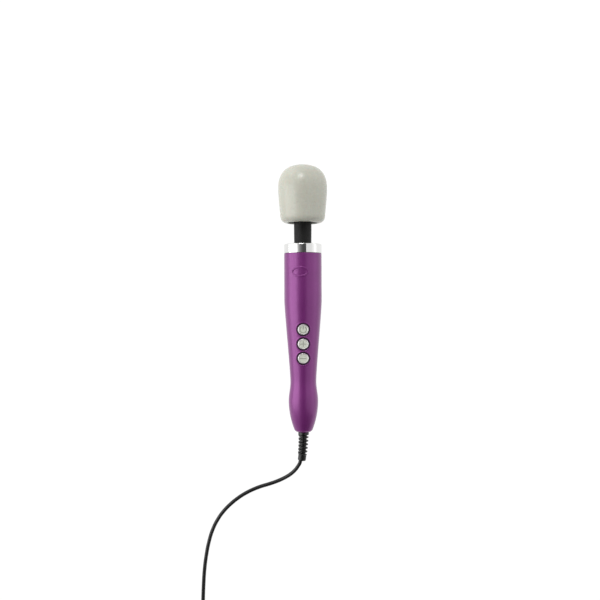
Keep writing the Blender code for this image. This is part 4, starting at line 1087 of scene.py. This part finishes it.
def make_plug():
    """The moulded plug, with finger ridges and a ribbed, tapering strain relief."""
    front = PLUG_FRONT_X
    side = [
        (front, 0.0176, 0.0026), (front - 0.015, 0.0176, 0.006), (front - 0.024, 0.0146, 0.006),
        (front - 0.032, 0.0088, 0.004), (front - PLUG_LENGTH, 0.007, 0.0022),
    ]
    outline = rounded(side + [(x, -y, r) for x, y, r in reversed(side)], 6)
    body = prism("plug_shell", outline, 0.0, PLUG_THICKNESS, 0.0016, 5)
    relief = lathe("relief", relief_outline(), 40)
    turn = Matrix.Rotation(math.radians(90), 4, "Z")
    root = front - PLUG_LENGTH + 0.0005
    relief.data.transform(Matrix.Translation((root, 0.0, PLUG_THICKNESS / 2)) @ turn)
    grooves = []
    for k in range(5):
        outline = rounded(oblong(0.0007, 0.0115, 0.0006, middle=front - 0.0075 - 0.003 * k), 3)
        grooves.append(prism("groove", outline, PLUG_THICKNESS - 0.0005, PLUG_THICKNESS + 0.002))
    combine(body, join(grooves, "grooves"), "DIFFERENCE")
    bore = PIN_RADIUS + 0.0001
    holes = []
    for pin_side in (-1, 1):
        hole = lathe("hole", [(-0.008, 0.0), (-0.008, bore), (0.004, bore), (0.004, 0.0)], 32)
        hole.data.transform(Matrix.Rotation(math.radians(-90), 4, "Z"))
        hole.data.transform(Matrix.Translation((front, pin_side * PIN_SPACING / 2, PLUG_THICKNESS / 2)))
        holes.append(hole)
    combine(body, join(holes, "holes"), "DIFFERENCE")
    combine(body, relief, "UNION")
    body.name = "mains_plug"
    mark_edges(body)
    place = Matrix.Translation((0.0, PLUG_Y, 0.0))
    pieces = [settle(body, place, FINISHES["plastic"], "handle", "black_plastic", "plug_body")]
    for name, pin_side in (("left", -1), ("right", 1)):
        corners = [(-0.0076, 0.0, 0.0), (-0.0076, PIN_RADIUS, 0.0)]
        corners += [(PIN_LENGTH, PIN_RADIUS, 0.0014), (PIN_LENGTH, 0.0, 0.0)]
        pin = lathe(f"mains_pin_{name}", rounded(corners, 8), 40)
        within, around = PIN_RADIUS - 0.0001, PIN_RADIUS + 0.00008
        outline = [(-0.0005, within), (-0.0005, around), (0.0098, around), (0.01, within)]
        sleeve = lathe(f"pin_sleeve_{name}", outline, 40)
        turn = Matrix.Rotation(math.radians(-90), 4, "Z")
        across = PLUG_Y + pin_side * PIN_SPACING / 2
        spot = Matrix.Translation((front, across, PLUG_THICKNESS / 2)) @ turn
        mark_edges(pin)
        pieces.append(settle(pin, spot, FINISHES["brass"], "handle", "plated_brass", f"plug_pin_{name}"))
        pieces.append(settle(sleeve, spot, FINISHES["plastic"], "handle", "black_plastic"))
    return pieces


# ---- making it all ----

lead = make_lead()
lead_pieces = [make_tie()] + make_plug()

make_casing()
make_emblem()
make_collar()
for screw_name, screw_station in SCREW_STATIONS.items():
    screw(f"shell_screw_{screw_name}_head", screw_station)
for key_kind, key_place in zip(KEY_NAMES, KEY_PLACES):
    make_key(key_kind, key_place)
make_neck()
make_head()
make_boot()


# ---- carried-over inner parts ----

INNER_PARTS = {
    "plastic": "switch_power switch_plus switch_minus power_module cord_clamp head_shell",
    "board": "circuit_board",
    "blue": "capacitor motor_lead_right lead_neutral",
    "steel": (
        "motor_can motor_bearing_front motor_bearing_rear clamp_screw_left clamp_screw_right "
        "motor_shaft neck_spring flex_shaft head_bearing_lower head_bearing_upper eccentric_shaft"
    ),
    "white": "motor_end_cap neck_liner",
    "magnet": "motor_magnet_left motor_magnet_right",
    "rubber": "motor_mount_front motor_mount_rear",
    "carbon": "brush_left brush_right",
    "brown": "motor_lead_left lead_live",
    "iron": "rotor_core",
    "copper": "commutator",
    "brass": "shaft_coupling eccentric_weight",
}
for finish_name, node_names in INNER_PARTS.items():
    for node_name in node_names.split():
        materials = frame["nodes"][node_name].data.materials
        materials.clear()
        materials.append(FINISHES[finish_name])


# ---- floor and studio light ----


def make_floor():
    """A plain white floor that glows faintly, like a light table."""
    bm = bmesh.new()
    bmesh.ops.create_grid(bm, x_segments=1, y_segments=1, size=12.0)
    floor = mesh_object("floor", bm)
    floor.location = (0.0, 0.0, -0.0002)
    dull = {"Base_Color": (0.05, 0.05, 0.05, 1.0), "Roughness": 1.0, "Specular_IOR_Level": 0.0}
    glow = {"Emission_Color": (1.0, 1.0, 1.0, 1.0), "Emission_Strength": 1.0}
    floor.data.materials.append(Finish("floor_white", **dull, **glow).material)


def soft_lamp(name, along, back, left, distance, width, length, radiance, shape="RECTANGLE"):
    """A lamp that faces a station of the wand, from so many degrees beyond it and to its left."""
    data = bpy.data.lights.new(name, "AREA")
    data.shape = shape
    data.size = width
    data.size_y = length
    surface = width * length * (math.pi / 4 if shape == "DISK" else 1.0)
    data.energy = radiance * surface * math.pi
    light = add_object(name, data)
    turn = Matrix.Rotation(math.radians(-back), 4, "X") @ Matrix.Rotation(math.radians(-left), 4, "Y")
    reach = Matrix.Translation((0.0, 0.0, distance))
    light.matrix_world = WAND @ Matrix.Translation((0.0, along, 0.0)) @ turn @ reach
    light.visible_camera = False


HEIGHT_LEVELS = ((0.03, 0.85), (0.32, 0.34), (0.62, 0.07))
LEFT_LEVELS = ((0.0, 0.01), (0.21, 0.11), (0.42, 0.36), (0.61, 1.1), (0.9, 0.2))
BEYOND_GLOW = 0.25
NEAR_DIMMED = 0.35


def graded(tree, value, levels):
    """The value looked up in a grey ramp of (position, level)."""
    node = add_node(tree, "ShaderNodeValToRGB", {"Fac": value})
    elements = node.color_ramp.elements
    for _ in levels[2:]:
        elements.new(0.5)
    for element, (position, level) in zip(elements, levels):
        element.position = position
        element.color = (level, level, level, 1.0)
    return node.outputs["Color"]


def make_world():
    """White near the horizon and dim overhead, with a glow to the left that fades towards the tail."""
    world = bpy.data.worlds.new("studio")
    bpy.context.scene.world = world
    world.use_nodes = True
    tree = world.node_tree
    place = add_node(tree, "ShaderNodeTexCoord").outputs["Generated"]
    split = add_node(tree, "ShaderNodeSeparateXYZ", {"Vector": place}).outputs
    left = calculate(tree, "MULTIPLY", split["X"], -1.0)
    level = calculate(tree, "ADD", graded(tree, split["Z"], HEIGHT_LEVELS), graded(tree, left, LEFT_LEVELS))
    level = calculate(tree, "ADD", level, map_range(tree, split["Y"], 0.25, 0.75, 0.0, BEYOND_GLOW))
    fade = map_range(tree, split["Y"], -0.9, 0.0, NEAR_DIMMED, 1.0)
    background = tree.nodes["Background"].inputs
    background["Color"].default_value = (1.0, 1.0, 1.0, 1.0)
    tree.links.new(calculate(tree, "MULTIPLY", level, fade), background["Strength"])


make_floor()
make_world()
soft_lamp("softbox_left", 0.09, 0.0, 65.0, distance=1.4, width=1.5, length=1.02, radiance=2.4)
soft_lamp("softbox_right", 0.6, 0.0, -54.0, distance=1.4, width=1.88, length=2.3, radiance=0.85)
soft_lamp("far_lamp", 0.32, 41.0, 8.0, distance=1.2, width=0.5, length=0.5, radiance=8.5, shape="DISK")
bpy.context.scene.view_settings.view_transform = "Standard"
bpy.context.scene.view_settings.look = "None"
